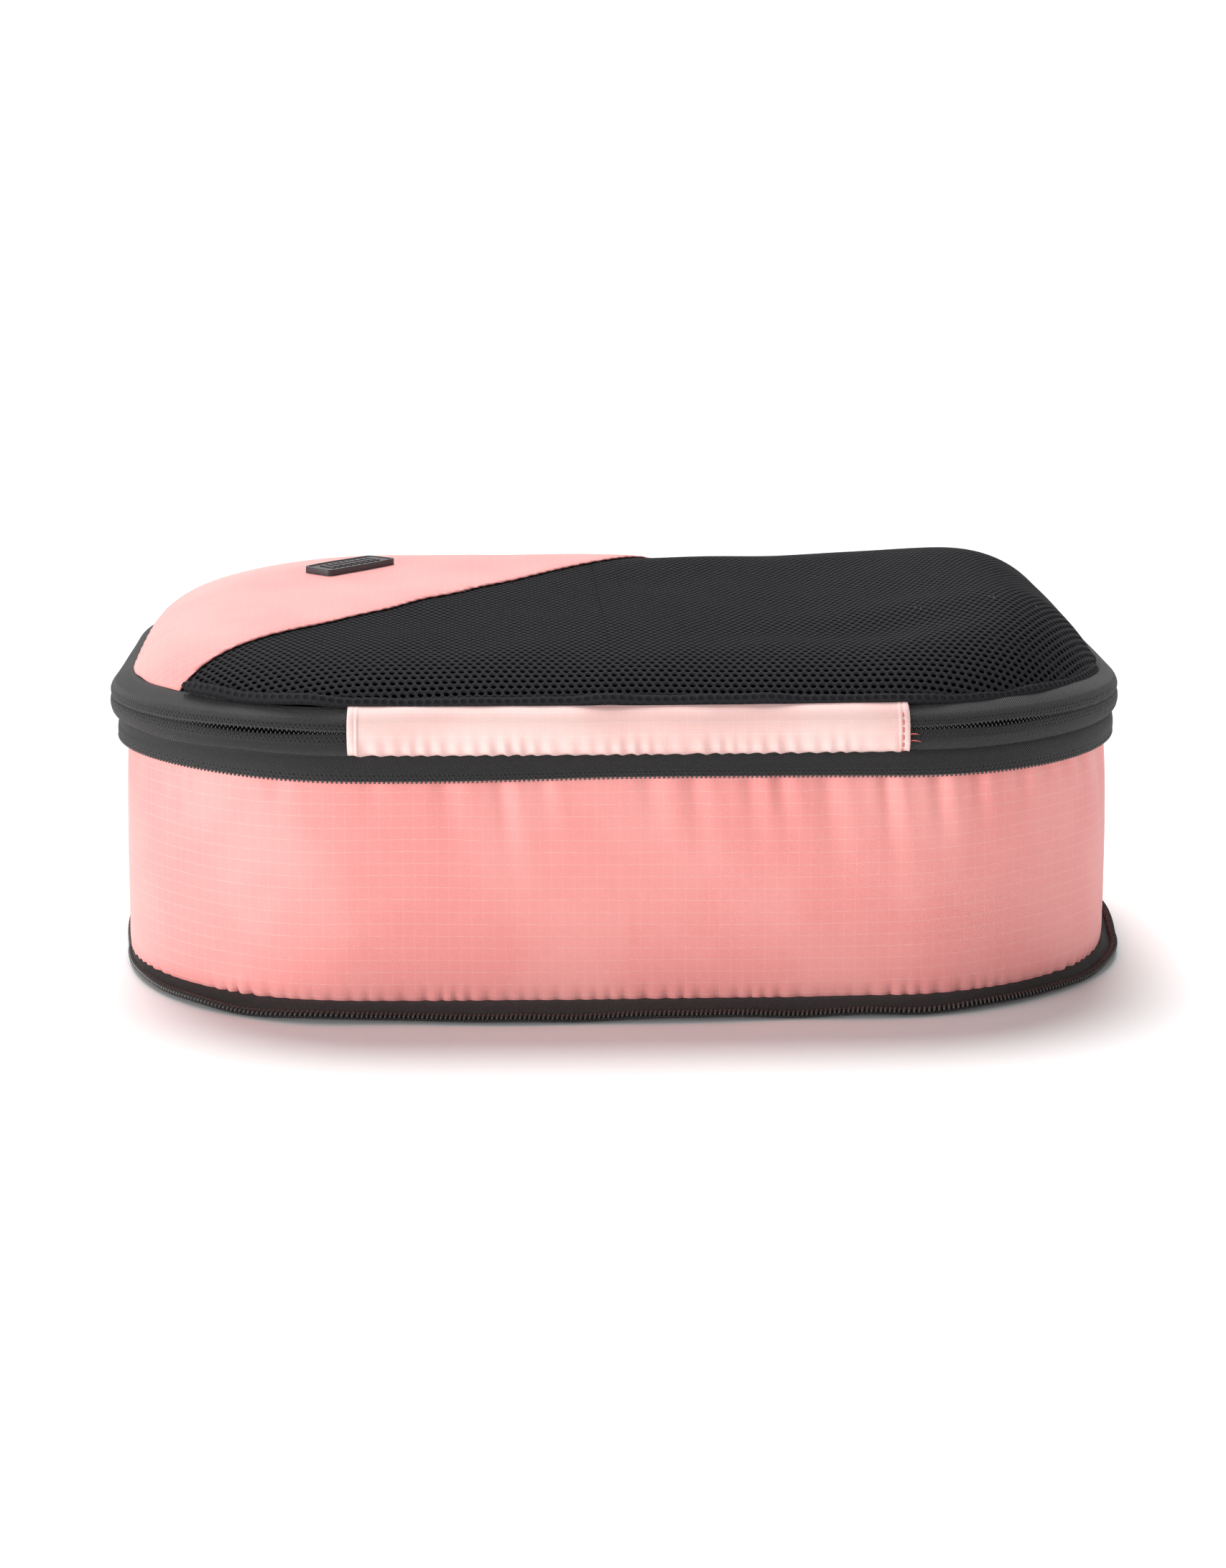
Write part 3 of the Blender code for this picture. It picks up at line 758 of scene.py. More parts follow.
# %% Rows of teeth
def teeth(name, tooth, start, end, place, shift=0.0):
    """A row of teeth from start to end. place(along) gives where the row lies: outwards and up."""
    count = int((end - start) / TOOTH_PITCH)
    mesh = repeated(tooth, name, (count, (TOOTH_PITCH, 0, 0)))
    flat = places_of(mesh)
    flat[:, 0] += start + shift
    outwards, up = place(flat[:, 0])
    flat[:, 1] += outwards
    flat[:, 2] += up
    move_to(mesh, wrap(flat))
    return mesh


def in_slit(side):
    """Where the main zip's lower row, side -1, or its upper row, 1, lies in the slit."""
    def place(along):
        return 2.3 * MM + roll(along), PARTING_Z + side * (0.62 * slit(along) + 0.1 * MM)
    return place


for name, side, body, shift in (("lower", -1, "rim", 0), ("upper", 1, "lid", TOOTH_PITCH / 2)):
    tooth = bead((0.62 * MM, 1.3 * MM, 1.5 * MM), 8, 4, "X")
    mesh = teeth(name, tooth, zip_start, zip_end, in_slit(side), shift)
    piece(f"main_zip_teeth_{name}", mesh, nylon, body, [f"main_coil_{name}"])


FLAP_EDGE_OUT, FLAP_EDGE_UP = 2.4 * MM, 82.3 * MM
GROUND_COIL_OUT, GROUND_COIL_UP = 10.9 * MM, 2.5 * MM


def along_flap(along):
    return hanging_flap(along, FLAP_EDGE_OUT, FLAP_EDGE_UP, 0)[1:]


tooth = bead((0.95 * MM, 1.2 * MM, 1.3 * MM), 8, 4, "X")
mesh = teeth("flap", tooth, -half_round, half_round, along_flap)
piece("compression_zip_teeth_upper", mesh, nylon, "rim", ["compression_coil_upper"])


def on_ground(along):
    return lying_tape(along, GROUND_COIL_OUT, GROUND_COIL_UP, 1)[1:]


tooth = bead((1.05 * MM, 3.2 * MM, 2.2 * MM), 8, 8, "X", slant=radians(16))
for v in tooth.verts:
    v.co.z -= 0.3 * MM * (v.co.y / (1.6 * MM)) ** 2
mesh = teeth("ground", tooth, -half_round, half_round, on_ground)
piece("compression_zip_coil_lower", mesh, nylon, "base", ["compression_coil_lower"])

# %% [markdown]
# The lid. Its cloth is held up by what is packed inside, so it crowns steeply at the edge and is nearly
# flat on top, with a few shallow dents. Both of its panels, the ripstop corner and the net, share that
# surface. It could be a sculpted sheet, but a formula for its height at any place lets the panels, the
# stitches and the badge all follow it exactly.

# %% The lid's surface
CROWN = 16 * MM
FULL_RIGHT, FULL_AT, FULL_SPREAD = 14.4 * MM, 160 * MM, 49.5 * MM
FULL_BACK = 0.022
LID_INSET = 2.9 * MM
rim_points = plan - LID_INSET * np.stack([ways[:, 1], -ways[:, 0]], axis=1)
rim_reach = np.hypot(rim_points[:, 0], rim_points[:, 1])
rim_angles = np.arctan2(rim_points[:, 1], rim_points[:, 0])
order = np.argsort(rim_angles)
DENTS = (  # middle x and y, height, and spread in x and y, in millimetres
    (20, 40, -0.8, 34, 24), (-60, -40, -0.8, 40, 26), (100, -68, -1.4, 34, 15), (112, -38, 0.8, 38, 14),
    (-20, -40, 0.9, 30, 20), (60, -66, -0.9, 26, 16), (-120, 60, 0.8, 26, 30), (92, 20, 0.9, 16, 60),
    (60, 76, 0.7, 26, 22),
)


def rim_at(turn):
    """How far the lid's edge is from its middle in that direction."""
    return np.interp(turn, rim_angles[order], rim_reach[order], period=2 * pi)


def share_of_reach(x, y):
    """How far out a place on the lid is: 0 in the middle, 1 at the edge."""
    return np.hypot(x, y) / rim_at(np.arctan2(y, x))


def lid_height(x, y):
    """The crown of the lid, fuller on the right, with its dents and a faint ripple."""
    share = np.clip(share_of_reach(x, y), 0, 1)
    lift = 1 - share ** (11 - np.tanh(x / (80 * MM)))
    bumps = np.zeros_like(x)
    for mx, my, height, sx, sy in DENTS:
        bumps += height * MM * np.exp(-(((x / MM - mx) / sx) ** 2) - ((y / MM - my) / sy) ** 2)
    swing = np.sin(x / (9 * MM) + 3 * np.sin(y / (31 * MM)))
    ripple = 0.3 * MM * swing * np.sin(y / (23 * MM) + x / (47 * MM))
    full = CROWN + FULL_RIGHT * bell(x - FULL_AT, FULL_SPREAD) + FULL_BACK * y
    return LID_EDGE_Z + 0.3 * MM + (full + bumps + ripple) * lift


middle = np.zeros(1)
print("the lid's middle is", round(float(lid_height(middle, middle)[0]), 4), "m up")

# %% [markdown]
# Cloth that climbs a steep edge needs more length than the plan shows. Two tables give, for each
# direction from the middle of the lid, the reach in plan and the length of the cloth to the same place,
# so that the net's cells and the ripstop's grid keep their size on the slope.

# %% The cloth's length on the lid
TURNS = 720
turn_table = np.linspace(-pi, pi, TURNS + 1)
plan_table = rim_at(turn_table)[:, None] * (1 - (1 - np.linspace(0, 1, 160)) ** 1.6)[None, :]
height_table = lid_height(np.cos(turn_table)[:, None] * plan_table, np.sin(turn_table)[:, None] * plan_table)
steps_out = np.hypot(np.diff(plan_table, axis=1), np.diff(height_table, axis=1))
cloth_table = np.concatenate([np.zeros((TURNS + 1, 1)), np.cumsum(steps_out, axis=1)], axis=1)


def scaled_along(flat, given, wanted):
    """Moves flat places in or out, from one measure of reach to the other. Both are tables."""
    turn = (np.arctan2(flat[:, 1], flat[:, 0]) + pi) / (2 * pi) * TURNS
    row = np.clip(np.floor(turn).astype(int), 0, TURNS - 1)
    reach = np.hypot(flat[:, 0], flat[:, 1])
    found = np.zeros((2, len(flat)))
    by_row = np.argsort(row, kind="stable")
    ends = np.searchsorted(row[by_row], np.arange(TURNS + 1))
    for i in range(TURNS):
        mine = by_row[ends[i]:ends[i + 1]]
        for k in (0, 1):
            found[k, mine] = np.interp(reach[mine], given[i + k], wanted[i + k])
    share = turn - row
    factor = (found[0] * (1 - share) + found[1] * share) / np.maximum(reach, 1e-9)
    return flat[:, :2] * factor[:, None]


print("cloth over the lid", round(cloth_table[:, -1].max(), 4), "m from middle to edge at most")

# %% [markdown]
# The diagonal seam. It is straight but for its front end, which curves, so a panel is cut in three steps:
# its places are moved until the seam is straight, it is cut there, and its places are moved back.

# %% The diagonal seam
SEAM_FROM, SEAM_TO = Vector((-162 * MM, -110.5 * MM)), Vector((37 * MM, 126.3 * MM))
SEAM_CURVE = 6 * MM
seam_length = (SEAM_TO - SEAM_FROM).length
seam_way = (SEAM_TO - SEAM_FROM).normalized()
seam_across = Vector((-seam_way.y, seam_way.x))
seam_middle = (SEAM_FROM + SEAM_TO) / 2
way_row, across_row, middle_row = (np.array(v) for v in (seam_way, seam_across, seam_middle))


def seam_curve(run):
    """How far the seam curves towards the corner, at a distance from its front end."""
    return SEAM_CURVE * bell(run - 12 * MM, 30 * MM)


def seam_places(places):
    """Distance along the seam from its front end and, across it, towards the corner."""
    from_middle = places[:, :2] - middle_row
    run = from_middle @ way_row + seam_length / 2
    return run, from_middle @ across_row - seam_curve(run)


def straightened(places, way):
    """Moves places so that the seam's front end is straight, way 1, or back again, way -1."""
    run, _ = seam_places(places)
    return places[:, :2] - way * seam_curve(run)[:, None] * across_row


def cut_on_seam(mesh, places, keep_side, lap=0.0):
    """Gives a flat mesh its places and cuts it along the seam. Returns it with the places it has left.

    keep_side 1 keeps the corner, and -1 keeps the net, which runs on under the corner by lap.
    """
    places[:, :2] = straightened(places, 1)
    move_to(mesh, places)
    bm = opened(mesh)
    away = seam_across.to_3d() * keep_side
    everything = [*bm.verts, *bm.edges, *bm.faces]
    bmesh.ops.bisect_plane(
        bm, geom=everything, plane_co=seam_middle.to_3d() - away * lap, plane_no=away, clear_inner=True
    )
    mesh = to_mesh(bm, mesh.name)
    places = places_of(mesh)
    places[:, :2] = straightened(places, -1)
    return mesh, places


print("diagonal seam", round(seam_length, 4), "m")

# %% [markdown]
# The corner panel is ripstop, folded under along the diagonal seam and stitched down over the net. It
# rounds down at the fold, the stitches sink a groove beside it, and their thread gathers the cloth into
# fine ripples. A grid could be laid out in squares. This one runs in rings round the lid, because rings
# can be set closer together at the rim, where the lid is steepest.

# %% The corner panel
bm = bmesh.new()
bmesh.ops.create_grid(bm, x_segments=560, y_segments=70, size=0.5)
for v in bm.verts:
    turn = (v.co.x + 0.5) * 2 * pi
    rim = rim_at(turn)
    share = 1 - (1 - (v.co.y + 0.5)) ** 1.4 * 0.999
    v.co = (cos(turn) * rim * share, sin(turn) * rim * share, 0)
bmesh.ops.remove_doubles(bm, verts=bm.verts, dist=0.15 * MM)
mesh = to_mesh(bm, "corner")
mesh, flat = cut_on_seam(mesh, places_of(mesh), 1)
write_uv(mesh, scaled_along(flat, plan_table, cloth_table))
along_seam, to_seam = seam_places(flat)
flat[:, 2] = lid_height(flat[:, 0], flat[:, 1])
folded = 0.5 * MM * bell(to_seam, 1.1 * MM)
stitched = 0.35 * MM * bell(to_seam - 2.0 * MM, 0.5 * MM)
gather = 0.22 * MM * np.sin(along_seam / (0.9 * MM) + 2 * np.sin(along_seam / (7 * MM)))
at_rim = np.clip(share_of_reach(flat[:, 0], flat[:, 1]) - 0.975, 0, 1) / 0.025
flat[:, 2] += (0.9 * MM - folded - stitched + gather * bell(to_seam, 5 * MM) * 0.5) * (1 - at_rim)
flat[:, 2] += (0.2 * np.sin(along_seam / (1.6 * MM)) - 0.2) * MM * at_rim
move_to(mesh, flat)
piece("lid_corner_panel", mesh, coral, "lid", ["corner_panel"], 0.4 * MM)

# %% [markdown]
# The net is knitted in hexagons. A material with holes would be lighter, but it would look flat from close
# by, so every cell is modelled. It is inset from a hexagon, and its hole is given walls. Two Array
# modifiers tile it, and the flat net is then laid over the lid by the tables above.

# %% The net
CELL = 2.95 * MM
ROW_STEP = CELL * np.sqrt(3)  # from one row of cells to the next but one
YARN = 0.60 * MM  # half the width of the yarn between two holes


def net_cell(bm, at):
    """One hexagonal cell: a ring of yarn, with the walls of its hole."""
    made = bmesh.ops.create_circle(
        bm, segments=6, radius=CELL / np.sqrt(3), cap_ends=True, matrix=Matrix.Translation(at)
    )
    face = made["verts"][0].link_faces[0]
    bmesh.ops.inset_individual(bm, faces=[face], thickness=YARN)
    bmesh.ops.translate(bm, vec=(0, 0, -0.1 * MM), verts=face.verts)
    walls = bmesh.ops.extrude_face_region(bm, geom=[face])["geom"]
    floor = [f for f in walls if isinstance(f, bmesh.types.BMFace)]
    bmesh.ops.translate(bm, vec=(0, 0, -0.5 * MM), verts=floor[0].verts)
    bmesh.ops.delete(bm, geom=floor + [face] * face.is_valid, context="FACES")


def net_cloth(name, across, deep):
    """A flat net: cells across, and pairs of rows deep."""
    bm = bmesh.new()
    net_cell(bm, (0, 0, 0))
    net_cell(bm, (CELL / 2, ROW_STEP / 2, 0))
    bmesh.ops.recalc_face_normals(bm, faces=bm.faces)
    return repeated(bm, name, (across, (CELL, 0, 0)), (deep, (0, ROW_STEP, 0)))


across_count, deep_count = int(0.4 / CELL), int(0.31 / ROW_STEP)
mesh = net_cloth("net", across_count, deep_count)
flat = places_of(mesh)
flat[:, 0] -= across_count * CELL / 2
flat[:, 1] -= deep_count * ROW_STEP / 2
flat[:, :2] = scaled_along(flat, cloth_table, plan_table)
mesh, flat = cut_on_seam(mesh, flat, -1, lap=1.5 * MM)
outside = share_of_reach(flat[:, 0], flat[:, 1]) > 0.997
flat[:, 2] += lid_height(flat[:, 0], flat[:, 1])
move_to(mesh, flat)
whole_net = without(mesh, outside)
NET_PARTS = (  # name, left and right ends, and the CAD node
    ("lid_net_left", -1, -5 * MM, ["mesh_panel"]),
    ("lid_net_middle", -5 * MM, 78 * MM, ()),
    ("lid_net_right", 78 * MM, 1, ()),
)
for name, left, right, node in NET_PARTS:
    bm = opened(whole_net)
    others = [f for f in bm.faces if not left <= f.verts[0].co.x < right]
    bmesh.ops.delete(bm, geom=others, context="FACES")
    piece(name, to_mesh(bm, name), net_yarn, "lid", node, smooth=80)

# %% [markdown]
# The net's edge is folded double along the zip, which makes a thick knitted bead beside the tape. A core
# gives the bead its body, and a narrow band of the same net is wrapped over it. The core is near black:
# partly the black net folded inside the bead, and partly painted shade within it.

# %% The net's folded edge
hem_profile = smooth_line(
    [(-4.4, 105.9), (-1.7, 106.0), (-1.1, 107.2), (-1.9, 108.6), (-3.4, 109.3), (-4.6, 108.9)]
)
past_seam = (rim_points - middle_row) @ across_row > 0
corner_range = length_at[np.flatnonzero(past_seam)]
seam_end, seam_start = corner_range[0], corner_range[-1]


def rumpled_hem(along, outwards, up, share):
    corner = 0.9 * bell(past(along, ROUND - 0.2), 0.06)
    sunk = 1.9 * np.clip((along - 0.1) / 0.03, 0, 1)
    thick = (corner - sunk + 0.4 * waves(along, 21, 0.008, 0.05) + 0.45 * waves(along, 22, 0.05, 0.2)) * MM
    return along, outwards + thick * 0.6, up + thick


mesh = strip("hem", seam_start - ROUND, seam_end, 900, 14, hem_profile, rumpled_hem)
# The core is near black: partly the black net folded inside the bead, and partly painted shade.
piece("lid_net_hem_core", mesh, inside_shade, "lid", thickness=0.4 * MM)

mesh = net_cloth("hem", int((seam_end - seam_start + ROUND) / CELL), 2)
flat = places_of(mesh)
along = flat[:, 0] + seam_start - ROUND
share = (flat[:, 1] - flat[:, 1].min()) / np.ptp(flat[:, 1])
outwards, up = hem_profile(share)
along, outwards, up = rumpled_hem(along, outwards, up, share)
tilt = pi * share * 0.8
lift = flat[:, 2] + 0.45 * MM
outwards, up = outwards + lift * np.cos(tilt), up + lift * np.sin(tilt)
move_to(mesh, wrap(np.stack([along, outwards, up], axis=1)))
piece("lid_net_hem", mesh, net_yarn, "lid", smooth=80)

# %% [markdown]
# The hinge strip. A single strip of ripstop is sewn over both ends of the main zip at the front, and it
# is the lid's hinge. Its lower edge is puckered by its seam, and its two ends are folded under and
# topstitched. When the lid opens the real strip has to bend, and not turn as a stiff flap. Here it is one
# piece that belongs to no body, so it keeps the shape it has with the lid shut.

# %% The hinge strip
strip_profile = smooth_line([
    (2.2, 90.4), (3.7, 91.3), (4.7, 93.4), (4.9, 96.2), (4.7, 99.2), (3.8, 102.2), (1.6, 104.9),
    (-1.4, 106.6), (-3.4, 107.2),
])
TURNED_UNDER, STITCHED_AT = STRIP_HALF - 3.5 * MM, STRIP_HALF - 2.2 * MM


def puckered(along, outwards, up, share):
    low = bell(share, 0.24)
    turn = 2 * pi * along / (5.4 * MM) + 1.6 * waves(along, 31, 0.02, 0.07)
    size = 0.7 + 0.5 * waves(along, 32, 0.02, 0.09)
    outwards = outwards + 1.0 * MM * np.sin(turn) * low * size
    up = up + 0.5 * MM * np.sin(turn + 0.6) * low * size
    end = np.clip((np.abs(along) - TURNED_UNDER) / (3.5 * MM), 0, 1)
    seam = bell(np.abs(along) - STITCHED_AT, 0.45 * MM)
    outwards = outwards + 0.45 * MM * np.sqrt(np.clip(1 - end**2, 0, 1)) * (end > 0) - 0.4 * MM * seam
    outwards = outwards + 0.35 * MM * waves(along, 33, 0.03, 0.12) * np.sin(pi * share)
    return along, outwards, up


# Painted light: the strip is the same coral ripstop as the wall, with its colours made paler for the light
# on its face.
lit_coral_strip = coral_cloth(
    "hinge_strip_ripstop_painted_light", (0.88, 0.62, 0.585, 1), (0.94, 0.76, 0.73, 1), (0.86, 0.53, 0.50, 1)
)
mesh = strip("hinge", -STRIP_HALF, STRIP_HALF, 420, 40, strip_profile, puckered)
halves = ["hinge_strip_rim_half", "hinge_strip_lid_half"]
hinge = piece("hinge_strip", mesh, lit_coral_strip, replaces=halves, thickness=0.7 * MM)
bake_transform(hinge)

# %% [markdown]
# Underneath is the bottom panel, a plain sheet of ripstop that the weight of what is packed presses flat.
# A square grid is pushed out to the round corners of the seam line, which keeps its faces even.

# %% The bottom panel
mesh = flat_grid("bottom", 150, 110)
flat = places_of(mesh)
square = flat[:, :2] * 2
largest = np.max(np.abs(square), axis=1)
turn = np.arctan2(square[:, 1], square[:, 0])
flat[:, 0] = np.cos(turn) * rim_at(turn) * largest
flat[:, 1] = np.sin(turn) * rim_at(turn) * largest
write_uv(mesh, flat[:, :2])
swing = np.sin(flat[:, 0] / (17 * MM) + np.sin(flat[:, 1] / (23 * MM)) * 2)
rough = 0.22 * MM * swing * np.sin(flat[:, 1] / (19 * MM))
flat[:, 2] = 0.75 * MM + (rough + 0.22 * MM) * (1 - largest**6)
move_to(mesh, flat)
# The bottom panel's inside face is near black: painted shade for the inside of the shut cube.
piece("bottom_cloth", mesh, inside_shade, "base", ["bottom_panel"], 0.5 * MM, back=coral)

# %% [markdown]
# Inside, a narrow binding tape is folded over the raw edge of each of the three seams, so that the cloth
# doesn't fray. Each is the same kind of strip as the tapes, with a hooked profile.

# %% The seam bindings
BINDINGS = (  # seam, body, and the folded tape's profile
    ("bottom", "base", [(-2.6, 2.0), (-3.0, 5.6), (-3.8, 6.3), (-4.6, 5.8), (-4.9, 2.0)]),
    ("rim", "rim", [(-3.0, 91.0), (-3.1, 87.2), (-3.9, 86.5), (-4.7, 87.2), (-4.8, 91.0)]),
    ("lid", "lid", [(-4.4, 104.6), (-4.3, 101.8), (-5.1, 101.1), (-5.9, 101.8), (-6.0, 104.6)]),
)
for i, (seam, body, points) in enumerate(BINDINGS):
    def rumpled(along, outwards, up, share, seed=40 + i):
        outwards = outwards + 0.25 * MM * waves(along, seed, 0.01, 0.06)
        return along, outwards, up + 0.2 * MM * waves(along, seed + 10, 0.01, 0.05)

    mesh = strip("binding", 0, ROUND, 420, 8, smooth_line(points), rumpled)
    piece(f"binding_{seam}", mesh, binding_cloth, body, [f"{seam}_seam_binding"], 0.35 * MM)

# %% [markdown]
# At the middle of the back a cloth tab covers both ends of each half of the compression zip. Each tab is
# cut as a short strip, so it bends with the tape that it covers.

# %% The end tabs
TAB_HALF = 8 * MM
TABS = (
    ("end_tab_upper", "rim", [(3.2, 81.4), (3.7, 84), (3.6, 88), (2.9, 91.2)]),
    ("end_tab_lower", "base", [(1.3, 7.4), (3.4, 6.0), (5.8, 5.0), (8.9, 4.0)]),
)


def tab_edges(along, outwards, up, share):
    seam = bell(np.abs(along - ROUND / 2) - (TAB_HALF - 2 * MM), 0.4 * MM)
    return along, outwards - 0.12 * MM * seam, up - 0.12 * MM * seam


for name, body, points in TABS:
    mesh = strip(name, ROUND / 2 - TAB_HALF, ROUND / 2 + TAB_HALF, 60, 20, smooth_line(points), tab_edges)
    piece(name, mesh, coral, body, [f"zip_{name}"], 0.6 * MM, offset=1.0)

# %% [markdown]
# The sliders and pulls are small painted castings, each with a ribbon loop on its pull. Their shapes are
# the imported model's own, copied and merged, because those already fit the zip and clear each other as they
# move. Only their edges are rounded here, since a casting has no sharp ones.

# %% The sliders and pulls
SMALL_PARTS = (  # kind of part, what its body's name starts with, and its finish
    ("slider", "slider", paint, "slider_paint"),
    ("pull_tab", "pull", paint, "slider_paint"),
    ("pull_ribbon", "pull", binding_cloth, "pull_ribbon"),
)
PLACES = (("main_{}_left", "left"), ("main_{}_right", "right"), ("compression_{}", "compression"))
each_part = [(place.format(kind), f"{mover}_{end}", look, slot)
             for kind, mover, look, slot in SMALL_PARTS for place, end in PLACES]
for node, body, look, slot in each_part:
    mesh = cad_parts[node].data.copy()
    merge_points(mesh, 0.01 * MM)
    bm = opened(mesh)
    flat_edges = [e for e in bm.edges if e.is_manifold and e.calc_face_angle() < radians(2)]
    bmesh.ops.dissolve_edges(bm, edges=flat_edges, use_verts=True)
    sharp = [e for e in bm.edges if e.is_manifold and e.calc_face_angle() > radians(30)]
    bmesh.ops.bevel(
        bm, geom=sharp, offset=0.22 * MM, affect="EDGES", segments=3, profile=0.5, material=-1,
        clamp_overlap=True,
    )
    bm.to_mesh(mesh)
    bm.free()
    if not mesh.uv_layers:
        write_uv(mesh, places_of(mesh)[:, [0, 2]])
    piece(node + "_shape", mesh, look, body, [node], smooth=35)

# %% [markdown]
# The badge is moulded rubber: a low tablet with a raised rim and a row of plain ribs. It starts as a block,
# whose top is inset and sunk. Cuts across it let it bend, because soft rubber glued to a crowned panel
# follows the panel's curve.

# %% The badge
BADGE_LONG, BADGE_WIDE, BADGE_THICK = 38 * MM, 14 * MM, 2.6 * MM
BADGE_RISE = 2.4 * MM  # from the lid's surface to the middle of the badge's thickness
RIB_PITCH, CUT_PITCH = 3.2 * MM, 5 * MM
badge_low, badge_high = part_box("badge")
badge_middle = (badge_low + badge_high) / 2
badge_turn = Matrix.Rotation(atan2(seam_way.y, seam_way.x), 4, "Z")
bm = bmesh.new()
bmesh.ops.create_cube(bm, size=1, matrix=Matrix.Diagonal((BADGE_LONG, BADGE_WIDE, BADGE_THICK, 1)))
upright = [e for e in bm.edges if abs(e.verts[0].co.z - e.verts[1].co.z) > 1 * MM]
bmesh.ops.bevel(bm, geom=upright, offset=2.5 * MM, affect="EDGES", segments=5, profile=0.5, material=-1)
top = max(bm.faces, key=lambda f: f.calc_center_median().z)
bmesh.ops.inset_individual(bm, faces=[top], thickness=1.1 * MM)
bmesh.ops.inset_individual(bm, faces=[top], thickness=0.15 * MM)
bmesh.ops.translate(bm, vec=(0, 0, -0.5 * MM), verts=top.verts)
rims = [e for e in bm.edges if e.is_manifold and e.calc_face_angle() > radians(40)]
bmesh.ops.bevel(
    bm, geom=rims, offset=0.3 * MM, affect="EDGES", segments=3, profile=0.5, material=-1,
    clamp_overlap=True,
)
for i in range(-3, 4):
    everything = [*bm.verts, *bm.edges, *bm.faces]
    place = (i * CUT_PITCH, 0, 0)
    bmesh.ops.bisect_plane(bm, geom=everything, plane_co=place, plane_no=(1, 0, 0), dist=1e-6)
for i in range(-4, 5):
    stretch = Matrix.Diagonal((1.3 * MM, 7 * MM, 0.9 * MM, 1))
    rib = Matrix.Translation((i * RIB_PITCH, 0, 0.9 * MM)) @ stretch
    made = bmesh.ops.create_cube(bm, size=1, matrix=rib)
    edges = {e for v in made["verts"] for e in v.link_edges}
    bmesh.ops.bevel(
        bm, geom=list(edges), offset=0.2 * MM, affect="EDGES", segments=2, profile=0.5, material=-1
    )
bmesh.ops.transform(bm, matrix=Matrix.Translation((*badge_middle.xy, 0)) @ badge_turn, verts=bm.verts)
mesh = to_mesh(bm, "badge")
flat = places_of(mesh)
flat[:, 2] += lid_height(flat[:, 0], flat[:, 1]) + BADGE_RISE
move_to(mesh, flat)
piece("rubber_badge", mesh, rubber, "lid", ["badge"], smooth=40)

# %% [markdown]
# Topstitching. Each stitch is a short fat loop of thread that dips into the cloth at both ends. A row of
# them lies along the diagonal seam and down both ends of the hinge strip, where two thread ends stick out
# on the right. They are meshes and not a painted pattern, because a stitch stands up and catches light.

# %% Stitches
STITCH = 2.6 * MM
THREAD = 0.42 * MM


def stitch_row(count):
    return repeated(bead((STITCH * 0.82, THREAD, THREAD), 6, 6, "Y"), "stitches", (count, (STITCH, 0, 0)))


mesh = stitch_row(int(seam_length / STITCH))
flat = places_of(mesh)
run = flat[:, 0] + 3 * MM
off_seam = flat[:, 1] + 1.8 * MM + seam_curve(run)
flat[:, :2] = np.array(SEAM_FROM) + run[:, None] * way_row + off_seam[:, None] * across_row
flat[:, 2] = lid_height(flat[:, 0], flat[:, 1]) + 0.72 * MM + flat[:, 2]
move_to(mesh, flat)
mesh = without(mesh, share_of_reach(flat[:, 0], flat[:, 1]) >= 0.985)
piece("seam_stitches", mesh, coral_thread, "lid")


def thread_ends():
    """Two loose ends of thread past the right end of the hinge strip."""
    mesh = repeated(bead((4.4 * MM, 0.4 * MM, 0.4 * MM), 6, 14, "Y"), "ends", (2, (-0.7 * MM, 0, 2.3 * MM)))
    flat = places_of(mesh)
    run = flat[:, 0] / (2.2 * MM)
    flat[:, 0] += STRIP_HALF + 1.2 * MM
    flat[:, 1] += 4.6 * MM + 0.5 * MM * run
    flat[:, 2] += 94.6 * MM - 0.4 * MM * run**2
    move_to(mesh, wrap(flat))
    return mesh


for side, name in ((-1, "left"), (1, "right")):
    mesh = stitch_row(6)
    flat = places_of(mesh)
    run = (flat[:, 0] + 1.2 * MM) / strip_profile.length
    outwards, up = strip_profile(np.clip(run, 0, 1))
    along = side * STITCHED_AT + flat[:, 1]
    move_to(mesh, wrap(np.stack([along, outwards + 0.05 * MM + flat[:, 2], up], axis=1)))
    if side > 0:
        bm = opened(mesh)
        bm.from_mesh(thread_ends())
        mesh = to_mesh(bm, "stitches")
    rows = piece(f"hinge_stitches_{name}", mesh, coral_thread)
    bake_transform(rows)

# %% [markdown]
# The studio: a white floor inside a ring of glowing white backdrop, a broad soft key light from above and
# behind, and a weak fill from the front left. The camera looks a little down on the hinge side, from a
# little left of the middle.

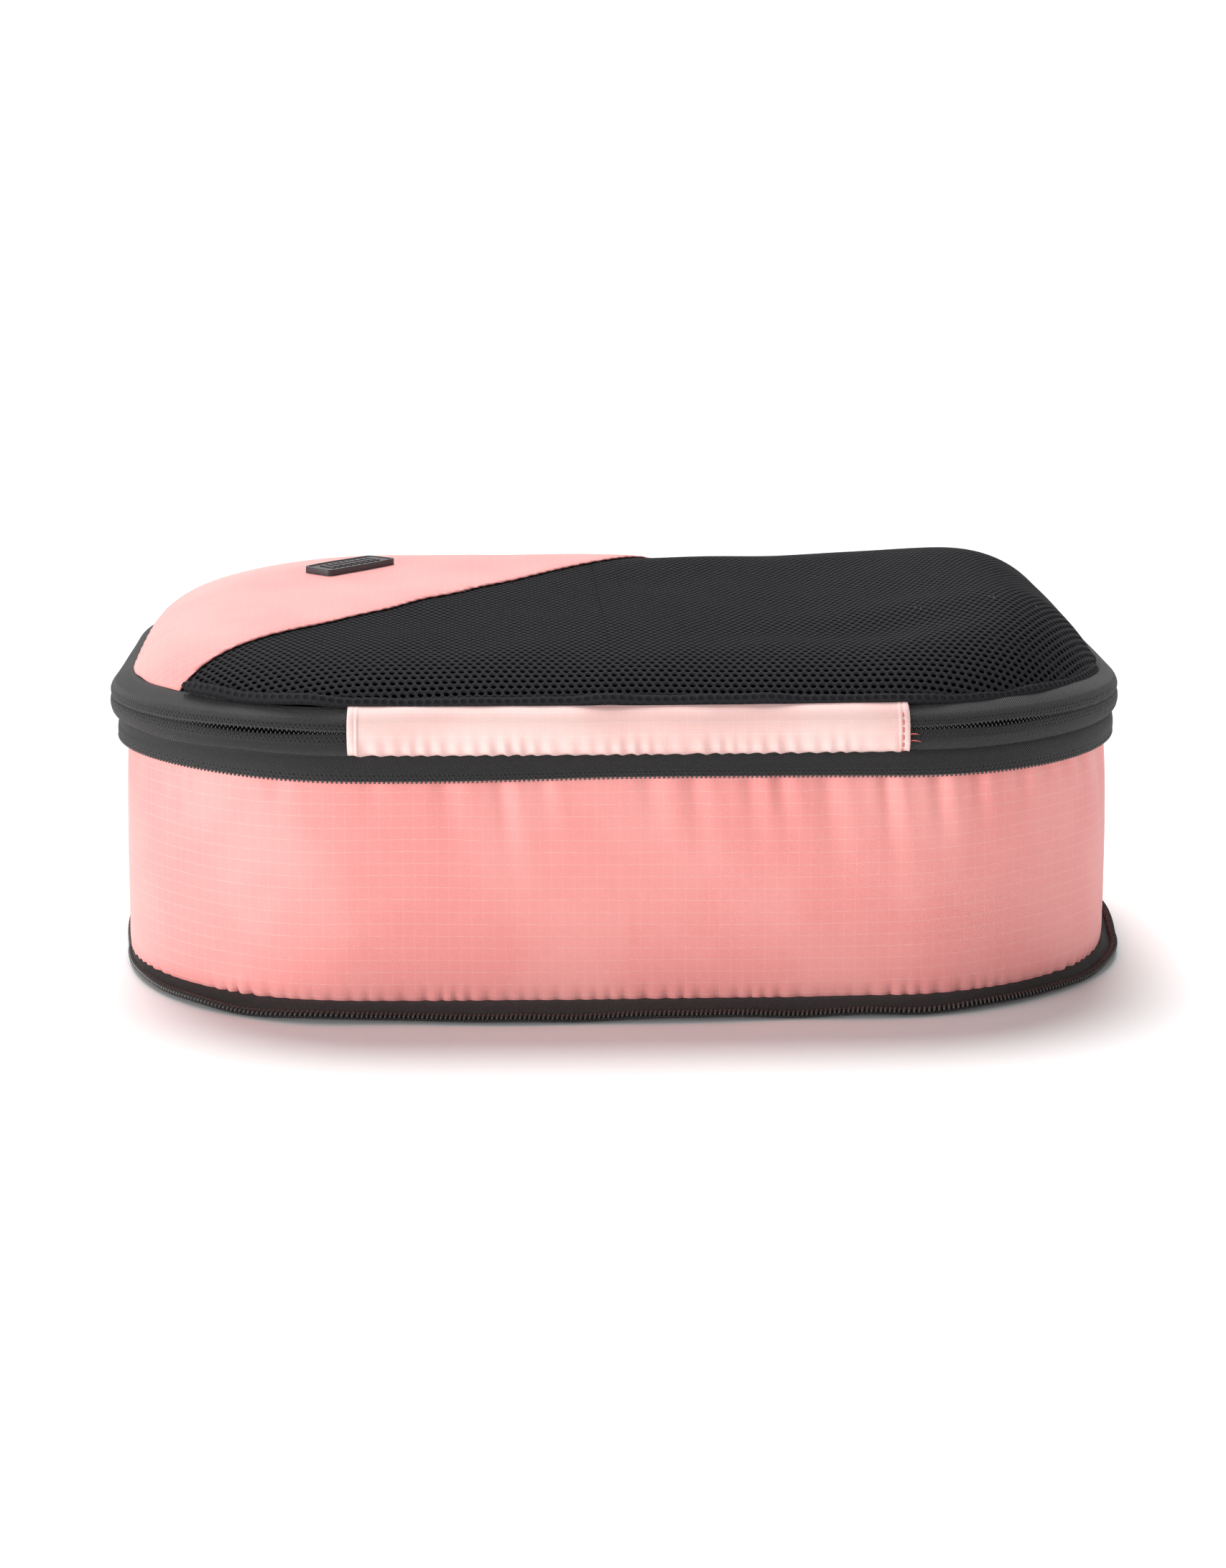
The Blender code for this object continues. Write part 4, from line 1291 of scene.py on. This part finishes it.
# %% The floor, the lights and the camera
scene.view_settings.view_transform = "Standard"
floor_look, n, shader = finish("studio_floor", 0.9)
shader.inputs["Base Color"].default_value = (0.92, 0.93, 0.93, 1)
shader.inputs["Specular IOR Level"].default_value = 0.1
backdrop_look, n, shader = finish("studio_backdrop", 0.9)
shader.inputs["Base Color"].default_value = (0.1, 0.1, 0.1, 1)
shader.inputs["Emission Color"].default_value = (1, 1, 1, 1)
shader.inputs["Emission Strength"].default_value = 1.0
FLOOR_REACH = 3.2


def studio(name, bm, look):
    obj = bpy.data.objects.new(name, to_mesh(bm, name))
    obj.data.materials.append(look)
    scene.collection.objects.link(obj)


bm = bmesh.new()
bmesh.ops.create_circle(bm, cap_ends=True, segments=96, radius=FLOOR_REACH)
studio("floor", bm, floor_look)
bm = bmesh.new()
bmesh.ops.create_cone(
    bm, cap_ends=False, segments=96, radius1=FLOOR_REACH, radius2=FLOOR_REACH + 1.6, depth=2,
    matrix=Matrix.Translation((0, 0, 0.995)),
)
studio("backdrop", bm, backdrop_look)

world = bpy.data.worlds.new("studio")
world.use_nodes = True
world.node_tree.nodes["Background"].inputs["Color"].default_value = (1, 1, 1, 1)
world.node_tree.nodes["Background"].inputs["Strength"].default_value = 0.22
scene.world = world

KEY_FROM = Vector((-0.12, 0.75, 1.3))
sun = bpy.data.lights.new("key", "SUN")
sun.energy = 3.5
sun.angle = radians(30)
key = bpy.data.objects.new("key", sun)
key.rotation_euler = KEY_FROM.to_track_quat("Z", "Y").to_euler()
scene.collection.objects.link(key)

FILL_FROM = Vector((-1.75, -1.15, 0.26))
box = bpy.data.lights.new("fill", "AREA")
box.shape = "RECTANGLE"
box.size, box.size_y = 1.2, 0.4
box.energy = 26
fill = bpy.data.objects.new("fill", box)
fill.location = FILL_FROM
fill.rotation_euler = (FILL_FROM - Vector((0, 0, 0.06))).to_track_quat("Z", "Y").to_euler()
scene.collection.objects.link(fill)

CAMERA_AWAY, CAMERA_HIGH = 1.289, 0.334
CAMERA_TURN = radians(-2.5)
camera = bpy.data.objects.new("camera", bpy.data.cameras.new("camera"))
camera.data.sensor_width = 36
camera.data.lens = 81.51099
camera.location = (CAMERA_AWAY * sin(CAMERA_TURN), -CAMERA_AWAY, CAMERA_HIGH)
camera.rotation_euler = (radians(90 - 12.3), 0, CAMERA_TURN)
scene.collection.objects.link(camera)
scene.camera = camera

print("camera at", [round(v, 3) for v in camera.location], "with a lens of", round(camera.data.lens, 1))
